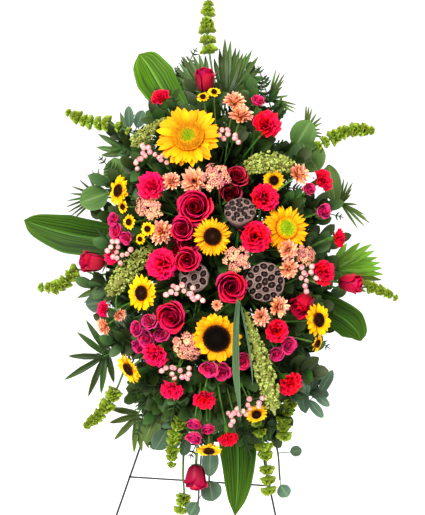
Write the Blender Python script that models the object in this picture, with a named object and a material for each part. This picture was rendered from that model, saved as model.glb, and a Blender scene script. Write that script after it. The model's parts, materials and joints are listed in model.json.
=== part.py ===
"""Standing funeral spray: cut flowers and foliage in a caged foam holder, hung on a folding wire easel.

Metres, +Z up, the flowers face -Y, and the origin is on the floor under the middle of the whole object.
"""

import math
from collections import namedtuple

import bmesh
import bpy
from mathutils import Matrix, Vector
from mathutils.bvhtree import BVHTree

# Easel: round steel wire, measured along its front frame, which leans back.
LEAN = math.radians(12)
EASEL_TOP = 1.52
FOOT_HALF_SPREAD = 0.378
LEGS_MEET = 1.364
NECK_HALF_WIDTH = 0.02
LOWER_BAR = 0.838
PIVOT_BAR = 1.06
WIRE_RADIUS = 0.002
BAR_RADIUS = 0.00175
PIVOT_BAR_OUT = -0.0025
REAR_LEG_LENGTH = 1.08
EYE_CLEARANCE = 0.0005
FLOOR_CENTRE = (-0.009, 0.2408)
WIRE_SIDES = 6
PIVOT_SIDES = 12

# Foam holder: a shallow tray with a hanging handle, a foam block and a cage clipped over it.
FOAM_HALF_WIDTH = 0.06
FOAM_BOTTOM, FOAM_TOP = 1.084, 1.484
TRAY_OUT = 0.0023
TRAY_THICKNESS = 0.004
FOAM_BACK, FOAM_FRONT = 0.0066, 0.100
TRAY_LIP = 0.014
TRAY_WALL = 0.003
HANDLE_HOLE_RADIUS = 0.010
CAGE_BAR = 0.0028
CAGE_PITCH = 0.08
SLOT_PITCH = 0.04
GAP = 0.0003
LARGEST_SCRAP = 2e-8

# Roots: where stems enter the foam, in two rows on its edges and three on its face.
ROW_BACK, ROW_FRONT = 0.034, 0.074
PEG_DEPTH = 0.024
PEG_RISE = 0.022
HOLE_CLEARANCE = 0.0006

# The photograph's sight lines, which place each bloom and leaf.
PICTURE_WIDTH, PICTURE_HEIGHT = 425, 515
PIXEL = 0.00195
VIEW_DISTANCE = 2.4
VIEW_PITCH = math.radians(8)
VIEW_ROLL = math.radians(3.67)
VIEW_TARGET = (-0.003, 1.293, 0.2)
SPRAY_CENTRE = (213, 262)
SPRAY_HALF_SIZE = (135, 215)
DOME_EDGE, DOME_RISE = 0.125, 0.150
DOME_TILT = 0.75

X_AXIS, Y_AXIS, Z_AXIS = Vector((1, 0, 0)), Vector((0, 1, 0)), Vector((0, 0, 1))
FEET = Vector((-FLOOR_CENTRE[0], -FLOOR_CENTRE[1], 0))
FRAME_UP = Vector((0, math.sin(LEAN), math.cos(LEAN)))
FRAME_OUT = Vector((0, -math.cos(LEAN), math.sin(LEAN)))

Bloom = namedtuple("Bloom", "u v size back right up", defaults=(0, None, None))
Group = namedtuple("Group", "kind row colour blooms")
Stem = namedtuple("Stem", "path parts")
Fan = namedtuple("Fan", "hub out tips width")


def frame_point(x, up, out):
    """A place on the easel's leaning front plane: sideways, up along it, and out in front of it."""
    return FEET + x * X_AXIS + up * FRAME_UP + out * FRAME_OUT


LOOK = Vector((0, math.cos(VIEW_PITCH), -math.sin(VIEW_PITCH)))
LEVEL_TOP = Vector((0, math.sin(VIEW_PITCH), math.cos(VIEW_PITCH)))
VIEW_RIGHT = X_AXIS * math.cos(VIEW_ROLL) + LEVEL_TOP * math.sin(VIEW_ROLL)
VIEW_TOP = LEVEL_TOP * math.cos(VIEW_ROLL) - X_AXIS * math.sin(VIEW_ROLL)
EYE = frame_point(*VIEW_TARGET) - VIEW_DISTANCE * LOOK
FOCAL = VIEW_DISTANCE / PIXEL


def seen(u, v, out):
    """The place that the photograph shows at pixel u, v, as far as out in front of the easel."""
    across = (u - PICTURE_WIDTH / 2) / FOCAL
    above = (PICTURE_HEIGHT / 2 - v) / FOCAL
    ray = VIEW_RIGHT * across + VIEW_TOP * above + LOOK
    along = (out - (EYE - FEET).dot(FRAME_OUT)) / ray.dot(FRAME_OUT)
    return EYE + ray * along


def facing(right, up):
    """The direction that leans right and up from the viewer by these slopes."""
    return (VIEW_RIGHT * right + VIEW_TOP * up - LOOK).normalized()


def from_centre(u, v):
    """How far a pixel is from the spray's middle, as shares of its half width and half height."""
    across = (u - SPRAY_CENTRE[0]) / SPRAY_HALF_SIZE[0]
    down = (v - SPRAY_CENTRE[1]) / SPRAY_HALF_SIZE[1]
    return across, down


def dome(u, v):
    """How far out the flowers' domed front stands at a pixel."""
    across, down = from_centre(u, v)
    return DOME_EDGE + DOME_RISE * math.sqrt(max(0.0, 1 - across**2 - down**2))


# Blooms: picture place, diameter in mm, set back behind the dome in mm, and lean to the right and up.
BLOOMS = {
    "sunflower_top": Group("sunflower", "front", "yellow", [Bloom(189, 138, 130, 0, -0.1, 0.3)]),
    "sunflower_right": Group("sunflower", "front", "yellow", [Bloom(285, 229, 98, 22, 0.3, 0.15)]),
    "sunflower_centre": Group("sunflower", "front", "yellow", [Bloom(212, 237, 78, 14, 0.1, 0.1)]),
    "sunflower_lower": Group("sunflower", "front", "yellow", [Bloom(217, 337, 98, 12, -0.1, -0.2)]),
    "sunflowers_small_left": Group("small_sunflower", "front", "yellow", [
        Bloom(120, 191, 58, 0, -1.3, 0.3),
        Bloom(143, 293, 68, 0, -0.8, 0.0),
        Bloom(130, 368, 60, 0, -1.3, -0.8),
    ]),
    "sunflowers_small_right": Group("small_sunflower", "front", "yellow", [
        Bloom(317, 320, 64, 0, 0.9, 0.1),
        Bloom(316, 343, 36, 6, 1.4, -0.4),
        Bloom(273, 180, 44, 34, 0.3, -0.2),
        Bloom(256, 413, 44, 30, 0.2, -0.6),
        Bloom(209, 449, 50, 0, 0.0, -1.5),
    ]),
    "mini_sunflowers": Group("mini_sunflower", "front", "yellow", [
        Bloom(124, 207, 26, 0, -0.9, 0.0),
        Bloom(130, 222, 30, 0, -0.7, 0.0),
        Bloom(148, 229, 28, 6, -0.3, 0.0),
        Bloom(141, 239, 22, 10, -0.6, 0.0),
        Bloom(203, 98, 26, 0, -0.2, 0.8),
        Bloom(214, 93, 26, 0, 0.0, 0.8),
    ]),
    "rose_top": Group("rose_bud", "side", "red", [Bloom(205, 80, 43, 20, 0.0, 2.4)]),
    "rose_left": Group("rose_bud", "side", "red", [Bloom(92, 262, 44, 0, -2.4, 0.2)]),
    "rose_bottom": Group("rose_bud", "side", "red", [Bloom(196, 478, 44, 0, 0.0, -3.0)]),
    "roses_centre": Group("rose", "front", "crimson", [
        Bloom(195, 207, 66, 0, -0.1, 0.1),
        Bloom(182, 229, 48, 6, -0.3, 0.1),
        Bloom(189, 242, 46, 0, -0.1, 0.0),
        Bloom(187, 260, 46, 0, -0.1, -0.1),
        Bloom(174, 250, 38, 26, -0.4, 0.0),
    ]),
    "roses_upper": Group("rose", "front", "dark_red", [
        Bloom(237, 176, 44, 26, 0.2, 0.4),
        Bloom(231, 193, 46, 36, 0.1, 0.2),
    ]),
    "roses_lower": Group("rose", "front", "crimson", [
        Bloom(232, 287, 58, 0, 0.1, 0.0),
        Bloom(171, 317, 58, 4, -0.3, -0.2),
    ]),
    "roses_right": Group("rose_bud", "side", "crimson", [
        Bloom(351, 283, 42, 0, 2.2, -0.2),
        Bloom(303, 304, 46, 4, -0.7, -0.7),
    ]),
    "spray_roses_left": Group("spray_rose", "front", "pink", [
        Bloom(113, 219, 26, 0, -0.8, 0.4),
        Bloom(115, 231, 30, 0, -0.9, 0.0),
        Bloom(126, 238, 26, 2, -0.4, -0.3),
        Bloom(149, 321, 31, 0, -0.4, 0.1),
        Bloom(136, 329, 30, 0, -0.9, 0.1),
        Bloom(146, 339, 34, 4, -0.5, -0.2),
        Bloom(161, 334, 30, 6, -0.1, -0.2),
        Bloom(138, 347, 28, 6, -0.8, -0.4),
    ]),
    "spray_roses_right": Group("spray_rose", "front", "pink", [
        Bloom(289, 345, 33, 0, 0.5, -0.2),
        Bloom(277, 354, 30, 6, 0.2, -0.4),
        Bloom(310, 189, 26, 14, 0.5, 0.3),
        Bloom(324, 211, 30, 0, 0.6, 0.2),
        Bloom(258, 100, 26, 0, 0.3, 0.8),
    ]),
    "spray_roses_bottom": Group("spray_rose", "front", "pink", [
        Bloom(194, 425, 28, 6, -0.2, -1.4),
        Bloom(208, 430, 26, 10, 0.2, -1.3),
        Bloom(194, 439, 32, 0, -0.4, -1.3),
        Bloom(209, 369, 36, 10, -0.2, -0.5),
        Bloom(222, 372, 38, 6, 0.0, -0.6),
        Bloom(243, 361, 36, 22, 0.3, -0.4),
    ]),
    "carnations_upper": Group("carnation", "front", "scarlet", [
        Bloom(267, 124, 55, 0, 0.3, 0.5),
        Bloom(265, 197, 52, 6, 0.2, 0.2),
        Bloom(256, 237, 56, 0, 0.2, 0.0),
        Bloom(160, 97, 38, 0, -0.9, 1.3),
    ]),
    "carnations_left": Group("carnation", "front", "coral", [
        Bloom(151, 186, 54, 0, -0.5, 0.3),
        Bloom(162, 264, 58, 0, -0.4, 0.0),
        Bloom(112, 256, 34, 16, -0.9, 0.0),
        Bloom(103, 309, 30, 4, -1.6, 0.2),
        Bloom(155, 355, 48, 0, -0.4, -0.6),
        Bloom(172, 390, 44, 0, -0.2, -1.1),
    ]),
    "carnations_right": Group("carnation", "front", "scarlet", [
        Bloom(323, 180, 44, 6, 1.1, 0.4),
        Bloom(339, 238, 36, 0, 2.2, 0.2),
        Bloom(324, 273, 48, 0, 0.8, 0.0),
        Bloom(277, 331, 44, 4, 0.2, -0.1),
        Bloom(290, 384, 48, 0, 0.6, -0.6),
        Bloom(204, 400, 42, 0, -0.1, -0.9),
        Bloom(228, 439, 40, 0, 0.3, -1.8),
    ]),
    "poms_left": Group("pom", "front", "peach", [
        Bloom(234, 101, 42, 0, 0.1, 0.9),
        Bloom(241, 115, 46, 4, 0.2, 0.8),
        Bloom(171, 181, 36, 0, -0.2, 0.3),
        Bloom(194, 181, 50, 4, -0.1, 0.1),
        Bloom(161, 232, 48, 2, -0.3, 0.1),
        Bloom(104, 326, 34, 0, -1.2, -0.5),
        Bloom(120, 315, 26, 4, 0.9, -0.7),
    ]),
    "poms_right": Group("pom", "front", "peach", [
        Bloom(299, 174, 42, 0, 0.7, 0.5),
        Bloom(288, 250, 38, 0, 0.3, -0.1),
        Bloom(289, 269, 36, 4, 0.3, -0.2),
        Bloom(279, 307, 40, 0, 0.6, 0.0),
        Bloom(261, 317, 34, 0, 0.1, -0.1),
        Bloom(217, 305, 20, 8, 0.0, 0.0),
    ]),
    "yarrow_heads": Group("yarrow", "front", "apricot", [
        Bloom(148, 206, 56, 2, -0.4, 0.2),
        Bloom(217, 176, 52, 4, 0.0, 0.3),
        Bloom(237, 259, 48, 6, 0.1, 0.0),
        Bloom(306, 256, 42, 8, 0.5, 0.0),
        Bloom(188, 347, 58, 4, -0.1, -0.3),
    ]),
    "lotus_pods": Group("lotus", "front", "pod_brown", [
        Bloom(240, 211, 62, 10, 0.0, 0.75),
        Bloom(265, 282, 78, 4, 0.1, 0.0),
        Bloom(194, 277, 60, 14, -0.1, 0.0),
    ]),
}

# Berries: picture places of each cluster's berries, with how far the cluster is set back in mm.
BERRY_SIZE = 0.0115
BERRIES = {
    "hypericum_upper": [
        (0, [(144, 148), (150, 152), (141, 159), (136, 163)]),
        (0, [(161, 160), (167, 156)]),
        (0, [(222, 130), (228, 134), (235, 138)]),
        (0, [(111, 247), (118, 247), (127, 254), (117, 258)]),
    ],
    "hypericum_lower": [
        (-14, [(171, 292), (177, 288), (184, 291), (191, 294), (198, 297)]),
        (-4, [(304, 273), (311, 272), (316, 278), (305, 286)]),
        (0, [(166, 368), (172, 374), (182, 377), (189, 374)]),
        (0, [(243, 411), (248, 405), (259, 403)]),
        (0, [(234, 413), (233, 421)]),
    ],
}

# Broad single leaves: points along the midrib with their width in mm.
ASPIDISTRAS = {
    "aspidistra_leaf_top": [(187, 132, 0.085, 30), (176, 112, 0.078, 62), (160, 86, 0.068, 84),
                            (148, 66, 0.060, 58), (139, 54, 0.056, 0)],
    "aspidistra_leaf_left": [(132, 243, 0.075, 40), (106, 240, 0.072, 70), (72, 235, 0.068, 80),
                             (42, 227, 0.060, 46), (24, 220, 0.052, 0)],
    "aspidistra_leaf_right": [(312, 296, 0.075, 30), (328, 309, 0.078, 62), (346, 320, 0.070, 64),
                              (357, 331, 0.056, 34), (361, 341, 0.045, 0)],
    "aspidistra_leaf_bottom": [(231, 384, 0.075, 30), (234, 412, 0.085, 62), (238, 450, 0.085, 76),
                               (238, 484, 0.075, 54), (235, 516, 0.060, 0)],
}

# Lobed and pinnate fans: a hub, how far out it lies, the tips of its fingers and their width in mm.
FANS = {
    "xanadu_leaf_top": [
        Fan((208, 98), 0.060, [(175, 67), (181, 56), (193, 55), (205, 55), (168, 80)], 15),
        Fan((226, 100), 0.052, [(214, 58), (225, 38), (236, 47), (243, 53), (252, 50), (262, 66)], 16),
    ],
    "xanadu_leaf_left": [
        Fan((129, 152), 0.060, [(106, 117), (98, 134), (96, 147), (101, 155), (120, 112), (112, 170)], 13),
        Fan((112, 284), 0.055, [(77, 298), (84, 303), (86, 288), (92, 306)], 13),
    ],
    "xanadu_leaf_right": [
        Fan((333, 270), 0.060, [(347, 243), (372, 244), (378, 257), (383, 268), (382, 280), (366, 292)], 19),
    ],
    "palm_fronds_right": [
        Fan((262, 103), 0.036, [(276, 69), (285, 73), (283, 86), (297, 105), (296, 113)], 9),
        Fan((300, 137), 0.036, [(306, 104), (312, 108), (322, 117), (321, 129), (324, 138)], 9),
        Fan((334, 204), 0.038, [(344, 178), (353, 182), (351, 194), (365, 215), (371, 224), (358, 229)], 9),
    ],
    "palm_frond_left": [
        Fan((106, 197), 0.038, [(71, 186), (87, 173), (98, 167), (66, 201), (67, 213), (72, 221)], 8),
    ],
    "palm_fronds_lower_left": [
        Fan((113, 352), 0.040, [(86, 320), (77, 332), (68, 356), (64, 380), (88, 397), (101, 394),
                                (114, 383)], 14),
        Fan((141, 408), 0.044, [(108, 408), (109, 423), (114, 440), (134, 453), (142, 452), (149, 449)], 14),
    ],
}

# Leafy stems: the stem's picture path with its distance out, then leaves as picture middle, length and
# width in mm, and the way the tip points, in degrees from right, turning up.
EUCALYPTUS = {
    "eucalyptus_left": [
        Stem([(150, 200, 0.080), (124, 190, 0.082), (102, 190, 0.080)],
             [(117, 174, 56, 42, 100), (94, 198, 50, 38, 200), (128, 168, 36, 26, 80)]),
        Stem([(148, 150, 0.078), (134, 132, 0.074)],
             [(129, 117, 46, 18, 92), (140, 119, 38, 22, 70)]),
        Stem([(140, 300, 0.080), (112, 304, 0.082)],
             [(96, 303, 42, 36, 190), (125, 318, 44, 40, 260), (120, 300, 36, 36, 120)]),
    ],
    "eucalyptus_right": [
        Stem([(280, 160, 0.086), (300, 150, 0.088), (322, 172, 0.084)],
             [(303, 134, 52, 40, 60), (310, 157, 56, 48, 300), (332, 184, 66, 28, 280),
              (292, 203, 34, 28, 270)]),
        Stem([(285, 350, 0.080), (306, 372, 0.082), (322, 392, 0.080)],
             [(286, 365, 38, 34, 210), (303, 374, 64, 22, 262), (314, 378, 60, 22, 255),
              (326, 382, 56, 20, 60), (322, 400, 40, 16, 320), (316, 409, 46, 18, 310)]),
    ],
    "eucalyptus_bottom": [
        Stem([(178, 395, 0.084), (164, 412, 0.086), (156, 430, 0.082)],
             [(150, 428, 50, 32, 250), (167, 421, 36, 28, 10), (161, 440, 46, 36, 240)]),
        Stem([(208, 410, 0.080), (210, 450, 0.080), (209, 482, 0.076)],
             [(210, 462, 60, 32, 268), (211, 491, 42, 40, 280), (193, 509, 30, 28, 240),
              (185, 447, 38, 22, 260)]),
        Stem([(258, 412, 0.080), (276, 445, 0.080), (280, 480, 0.076)],
             [(284, 491, 28, 26, 300), (296, 451, 24, 20, 10), (270, 428, 40, 20, 250)]),
    ],
}

# Stems of green bells: the picture path, then each whorl's place along it and its size in mm.
BELLS = {
    "bells_top": [Stem([(212, 70, 0.095), (209, 50, 0.092), (207, 29, 0.088), (209, 3, 0.084)],
                       [(209, 51, 30), (207, 30, 30), (208, 14, 27), (210, 4, 20)])],
    "bells_left": [
        Stem([(142, 138, 0.100), (126, 130, 0.100), (108, 124, 0.100), (91, 123, 0.098), (69, 113, 0.094)],
             [(129, 133, 16), (108, 124, 30), (91, 124, 26), (77, 120, 24), (69, 113, 15)]),
        Stem([(96, 275, 0.085), (78, 270, 0.095), (60, 286, 0.095), (42, 287, 0.090)],
             [(76, 270, 30), (66, 280, 28), (56, 288, 24), (42, 287, 18)]),
        Stem([(122, 376, 0.105), (116, 390, 0.105), (102, 412, 0.100), (86, 426, 0.095)],
             [(116, 390, 28), (109, 404, 28), (101, 415, 24), (94, 421, 20), (86, 426, 16)]),
    ],
    "bells_right": [
        Stem([(308, 152, 0.104), (330, 139, 0.104), (350, 130, 0.102), (374, 131, 0.098)],
             [(319, 147, 20), (331, 138, 28), (342, 133, 26), (352, 129, 26), (362, 129, 24), (371, 131, 18)]),
        Stem([(352, 290, 0.090), (368, 287, 0.090), (384, 292, 0.088), (398, 299, 0.084)],
             [(368, 288, 24), (378, 290, 20), (387, 293, 17), (396, 298, 14)]),
    ],
    "bells_bottom_left": [
        Stem([(186, 400, 0.118), (181, 418, 0.118), (174, 436, 0.114), (171, 468, 0.108)],
             [(181, 418, 27), (175, 433, 27), (173, 449, 25), (171, 463, 17)]),
        Stem([(183, 478, 0.076), (184, 495, 0.078), (180, 512, 0.076)],
             [(184, 495, 28), (181, 509, 24)]),
    ],
    "bells_bottom_right": [
        Stem([(253, 400, 0.112), (256, 420, 0.112), (264, 445, 0.108), (269, 492, 0.100)],
             [(256, 421, 25), (264, 445, 30), (268, 469, 30), (269, 488, 27)]),
        Stem([(290, 388, 0.086), (290, 404, 0.096), (284, 420, 0.098), (284, 436, 0.096)],
             [(290, 403, 28), (285, 419, 26), (284, 434, 28)]),
    ],
}

# Drooping amaranth tassels: picture place, distance out and radius in mm along each.
AMARANTHS = {
    "amaranth_upper_left": [(167, 119, 0.172, 6), (154, 127, 0.168, 10), (143, 137, 0.160, 15),
                            (134, 144, 0.150, 12)],
    "amaranth_upper_right": [(246, 169, 0.225, 12), (257, 164, 0.225, 18), (275, 162, 0.215, 20),
                             (292, 167, 0.200, 12)],
    "amaranth_left": [(152, 247, 0.205, 8), (138, 260, 0.205, 18), (124, 275, 0.195, 22),
                      (110, 293, 0.180, 12)],
    "amaranth_bottom": [(245, 312, 0.262, 6), (252, 332, 0.262, 10), (260, 358, 0.250, 17),
                        (268, 384, 0.230, 21), (274, 411, 0.208, 10)],
}

# Ribbon grass: picture place, distance out and width in mm along each blade.
GRASS_BLADES = [
    [(238, 301, 0.280, 9), (236, 330, 0.292, 14), (236, 372, 0.280, 16), (239, 402, 0.245, 8), (241, 422, 0.225, 0)],
]

# Leatherleaf fern that backs the blooms: where each frond starts and ends, how far out, half width in mm.
FERNS = {
    "leatherleaf_left": [((170, 190), (128, 108), 0.022, 42), ((165, 225), (102, 172), 0.022, 42),
                         ((165, 262), (92, 262), 0.022, 42), ((165, 310), (104, 344), 0.022, 42),
                         ((182, 380), (146, 432), 0.030, 42), ((178, 172), (142, 158), 0.118, 38),
                         ((172, 240), (124, 282), 0.118, 38), ((180, 330), (152, 388), 0.118, 40)],
    "leatherleaf_right": [((250, 170), (262, 84), 0.022, 42), ((262, 205), (316, 120), 0.022, 42),
                          ((265, 255), (342, 232), 0.022, 42), ((265, 300), (334, 352), 0.022, 42),
                          ((245, 380), (290, 436), 0.022, 42), ((242, 178), (226, 118), 0.118, 38),
                          ((262, 215), (306, 212), 0.118, 38), ((262, 305), (312, 300), 0.118, 38),
                          ((245, 345), (268, 404), 0.118, 40)],
}

# Filling fronds in the depths between the blooms, spread evenly: how many, from how far across the spray to
# how far, how far behind the dome and half width in mm.
FERN_FILL = [(46, 0, 0.98, 100, 40), (30, 0, 0.84, 66, 36), (16, 0.82, 1.0, 62, 38), (8, 0, 0.58, 44, 30)]
FILL_LENGTH = 0.135
FILL_PAIRS = 3
FROND_THICKNESS = 0.0018
FILL_STALK = 0.0014
# How far a filling frond may turn aside, how near the easel it may start, how far behind its start its stalk
# leaves an older one, and the room that it keeps round its blade and its stalk.
FILL_FAN = 0.5
FILL_LOW = 0.016
FILL_BEHIND = 0.030
FILL_MARGIN = 0.0022
STALK_MARGIN = 0.0045
GOLDEN_TURN = 2.39996

COLOURS = {
    "yellow": (0.92, 0.58, 0.02), "disc_green": (0.55, 0.55, 0.06), "disc_brown": (0.06, 0.03, 0.02),
    "red": (0.55, 0.01, 0.05), "crimson": (0.60, 0.01, 0.07), "dark_red": (0.30, 0.005, 0.03),
    "pink": (0.66, 0.04, 0.18), "scarlet": (0.75, 0.01, 0.03), "coral": (0.80, 0.03, 0.08),
    "peach": (0.80, 0.36, 0.20), "apricot": (0.78, 0.42, 0.22), "pod_brown": (0.17, 0.11, 0.10),
    "berry_pink": (0.88, 0.50, 0.45), "leaf_green": (0.05, 0.16, 0.02), "palm_green": (0.04, 0.10, 0.03),
    "lobed_green": (0.05, 0.12, 0.02), "eucalyptus": (0.14, 0.24, 0.17), "fern_green": (0.02, 0.07, 0.02),
    "bell_green": (0.30, 0.50, 0.04), "tassel_green": (0.38, 0.44, 0.10), "grass_green": (0.18, 0.33, 0.18),
    "foam_green": (0.05, 0.18, 0.07), "holder_green": (0.02, 0.10, 0.04), "wire_black": (0.01, 0.01, 0.01),
}
ROUGHNESS = {"wire_black": 0.45, "berry_pink": 0.3, "leaf_green": 0.35, "foam_green": 0.95}


def clear_scene():
    for obj in list(bpy.data.objects):
        bpy.data.objects.remove(obj)


def material(colour):
    """The Principled material of a named colour, made once."""
    made = bpy.data.materials.get(colour)
    if made is None:
        made = bpy.data.materials.new(colour)
        made.use_nodes = True
        shader = made.node_tree.nodes["Principled BSDF"]
        shader.inputs["Base Color"].default_value = (*COLOURS[colour], 1)
        shader.inputs["Roughness"].default_value = ROUGHNESS.get(colour, 0.6)
        shader.inputs["Metallic"].default_value = 0.0
    return made


def bridge(a, count_a, b, count_b):
    """Triangles between two rings of different counts, from the index of each ring's first point."""
    faces = []
    i = j = 0
    while i < count_a or j < count_b:
        if j >= count_b or (i < count_a and (i + 0.5) / count_a <= (j + 0.5) / count_b):
            faces.append((a + i % count_a, a + (i + 1) % count_a, b + j % count_b))
            i += 1
        else:
            faces.append((a + i % count_a, b + (j + 1) % count_b, b + j % count_b))
            j += 1
    return faces


def loft(rings, open_end=False):
    """A closed mesh through rings of points. A ring of one point is a tip, and an end ring is capped."""
    points, faces, starts = [], [], []
    for ring in rings:
        starts.append(len(points))
        points.extend(ring)
    for i in range(len(rings) - 1):
        a, b = starts[i], starts[i + 1]
        count_a, count_b = len(rings[i]), len(rings[i + 1])
        if count_a == count_b:
            for k in range(count_a):
                j = (k + 1) % count_a
                faces += [(a + k, a + j, b + j), (a + k, b + j, b + k)]
        elif count_a == 1:
            faces += [(a, b + (k + 1) % count_b, b + k) for k in range(count_b)]
        elif count_b == 1:
            faces += [(a + k, a + (k + 1) % count_a, b) for k in range(count_a)]
        else:
            faces += bridge(a, count_a, b, count_b)
    if len(rings[0]) > 1:
        faces.append(tuple(reversed(range(len(rings[0])))))
    if len(rings[-1]) > 1 and not open_end:
        faces.append(tuple(range(starts[-1], len(points))))
    return points, faces


def outward(mesh):
    """The same mesh with its faces turned out."""
    points, faces = mesh
    volume = 0.0
    for face in faces:
        for k in range(1, len(face) - 1):
            volume += points[face[0]].dot(points[face[k]].cross(points[face[k + 1]]))
    return (points, faces) if volume > 0 else (points, [tuple(reversed(face)) for face in faces])


def placed(mesh, matrix):
    points, faces = mesh
    return [matrix @ p for p in points], faces


def new_object(name, mesh, colour=None):
    points, faces = outward(mesh)
    data = bpy.data.meshes.new(name)
    data.from_pydata(points, [], faces)
    data.update()
    obj = bpy.data.objects.new(name, data)
    if colour:
        data.materials.append(material(colour))
    return obj


def combine(base, meshes, operation, solver="EXACT"):
    """base with every mesh joined to it or cut from it by one Boolean, which is applied."""
    others = bpy.data.collections.new("others")
    bpy.context.scene.collection.children.link(others)
    for mesh in meshes:
        others.objects.link(new_object("other", mesh))
    modifier = base.modifiers.new("combine", "BOOLEAN")
    modifier.operation = operation
    modifier.solver = solver
    modifier.operand_type = "COLLECTION"
    modifier.collection = others
    graph = bpy.context.evaluated_depsgraph_get()
    result = bpy.data.meshes.new_from_object(base.evaluated_get(graph))
    base.modifiers.clear()
    base.data = result
    for obj in list(others.objects):
        bpy.data.objects.remove(obj)
    bpy.data.collections.remove(others)
    drop_scraps(base)
    return base


def drop_scraps(obj):
    """Drops loose shreds, and fills sealed hollows by dropping their walls."""
    mesh = bmesh.new()
    mesh.from_mesh(obj.data)
    left, bodies = set(mesh.faces), []
    while left:
        body, edge = [], [left.pop()]
        while edge:
            face = edge.pop()
            body.append(face)
            near = {f for v in face.verts for f in v.link_faces} & left
            left -= near
            edge.extend(near)
        bodies.append(body)
    if len(bodies) > 1:
        bodies.sort(key=body_volume, reverse=True)
        for body in bodies[1:]:
            if body_volume(body) < LARGEST_SCRAP:
                bmesh.ops.delete(mesh, geom=body, context="FACES")
        mesh.to_mesh(obj.data)
    mesh.free()


def body_volume(faces):
    volume = 0.0
    for face in faces:
        corners = [v.co for v in face.verts]
        for k in range(1, len(corners) - 1):
            volume += corners[0].dot(corners[k].cross(corners[k + 1])) / 6
    return volume


def node(name, meshes, colour, smooth=False):
    """One solid of this name: its meshes joined."""
    obj = new_object(name, meshes[0], colour)
    bpy.context.scene.collection.objects.link(obj)
    if len(meshes) > 1:
        combine(obj, meshes[1:], "UNION", "MANIFOLD")
    if smooth:
        obj.data.shade_smooth()
        obj.data.set_sharp_from_angle(angle=math.radians(40))
    return obj


def circle(radius, count, z=0.0, turn=0.0):
    step = 2 * math.pi / count
    return [Vector((radius * math.cos(k * step + turn), radius * math.sin(k * step + turn), z))
            for k in range(count)]


def basis(axis, hint=None):
    """A rotation whose Z is axis and whose X is near hint."""
    z = axis.normalized()
    hint = hint or X_AXIS
    x = hint - z * hint.dot(z)
    if x.length < 0.1:
        hint = Y_AXIS if abs(z.dot(Y_AXIS)) < 0.9 else Z_AXIS
        x = hint - z * hint.dot(z)
    x.normalize()
    return Matrix((x, z.cross(x), z)).transposed()


def at(place, axis, hint=None):
    """The matrix that stands a shape made along +Z at a place, along an axis."""
    return Matrix.Translation(place) @ basis(axis, hint).to_4x4()


def tube_rings(points, radii, sides, hint=None, arrive=None):
    """Rings round a line of points, made from its far end, where the tube runs along arrive."""
    if not isinstance(radii, (list, tuple)):
        radii = [radii] * len(points)
    rings = []
    last = len(points) - 1
    for i in reversed(range(len(points))):
        before = (points[i] - points[i - 1]).normalized() if i else Vector()
        after = (points[i + 1] - points[i]).normalized() if i < last else Vector()
        way = arrive if arrive and i == last else before + after
        turn = basis(way, hint)
        hint = turn.col[0].copy()
        rings.insert(0, [points[i] + turn @ p for p in circle(radii[i], sides)])
    return rings


def tube(points, radii, sides):
    """A round wire through points."""
    return loft(tube_rings(points, radii, sides))


def blade_rings(points, widths, face, thickness, fold=0.0, sweep=0.0, sides=3):
    """Rings of a thin leaf through points: its two edges and its keel, and with four sides its midrib too.

    face is where its upper side looks. fold lifts the edges, and sweep moves wide stretches' edges on.
    """
    rings = []
    last = len(points) - 1
    for i, point in enumerate(points):
        if widths[i] <= 0:
            rings.append([point])
            continue
        along = (points[min(i + 1, last)] - points[max(i - 1, 0)]).normalized()
        side = face.cross(along).normalized()
        top = along.cross(side).normalized()
        half = widths[i] / 2
        rise = top * fold * half + along * sweep * half
        keel = point - top * thickness
        ring = [point - side * half + rise, keel, point + side * half + rise]
        if sides == 4:
            ring = [ring[0], keel + top * thickness * 0.4, ring[2], point + top * thickness * 0.6]
        rings.append(ring)
    return rings


def fan_frame(hub, tips):
    """A palmate leaf's direction, and where its front looks."""
    away = (sum(tips, Vector()) / len(tips) - hub).normalized()
    return away, (away * LOOK.dot(away) - LOOK).normalized()


def fan_plate(rings, hub, tips, width, thickness=0.0016):
    """A palmate leaf: a stalk's rings that spread into fingers, with a valley between each and the next."""
    away, normal = fan_frame(hub, tips)
    left = normal.cross(away)
    centre = hub + away * 0.008
    points, faces = loft(rings, open_end=True)
    keel, start, end = len(points) - 3, len(points) - 1, len(points) - 2

    def angle(tip):
        reach = tip - centre
        return math.atan2(reach.dot(left), reach.dot(away))

    tips = sorted(tips, key=angle)
    outline = [start]
    for k, tip in enumerate(tips):
        reach = tip - centre
        gap = min([abs(angle(tip) - angle(other)) for other in tips if other is not tip], default=1.0)
        side = normal.cross(reach).normalized() * min(width / 2, reach.length * 0.5 * math.tan(min(gap, 1.6) * 0.42))
        middle = centre + reach * 0.55 + normal * 0.004
        outline += [len(points), len(points) + 1, len(points) + 2]
        points += [middle - side, tip, middle + side]
        if k < len(tips) - 1:
            turn = (angle(tip) + angle(tips[k + 1])) / 2
            way = away * math.cos(turn) + left * math.sin(turn)
            outline.append(len(points))
            points.append(centre + way * min(reach.length, (tips[k + 1] - centre).length) * 0.26)
    outline.append(end)
    front, rear = len(points), len(points) + 1
    points += [centre + normal * thickness, centre - normal * thickness]
    for a, b in zip(outline[:-1], outline[1:]):
        faces += [(front, a, b), (rear, b, a)]
    faces += [(front, end, start), (rear, keel, end), (rear, start, keel)]
    return points, faces


def bezier(a, b, c, d, count):
    """count + 1 points on the cubic curve from a to d."""
    found = []
    for k in range(count + 1):
        t = k / count
        s = 1 - t
        found.append(a * s**3 + b * (3 * s * s * t) + c * (3 * s * t * t) + d * t**3)
    return found


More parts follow.
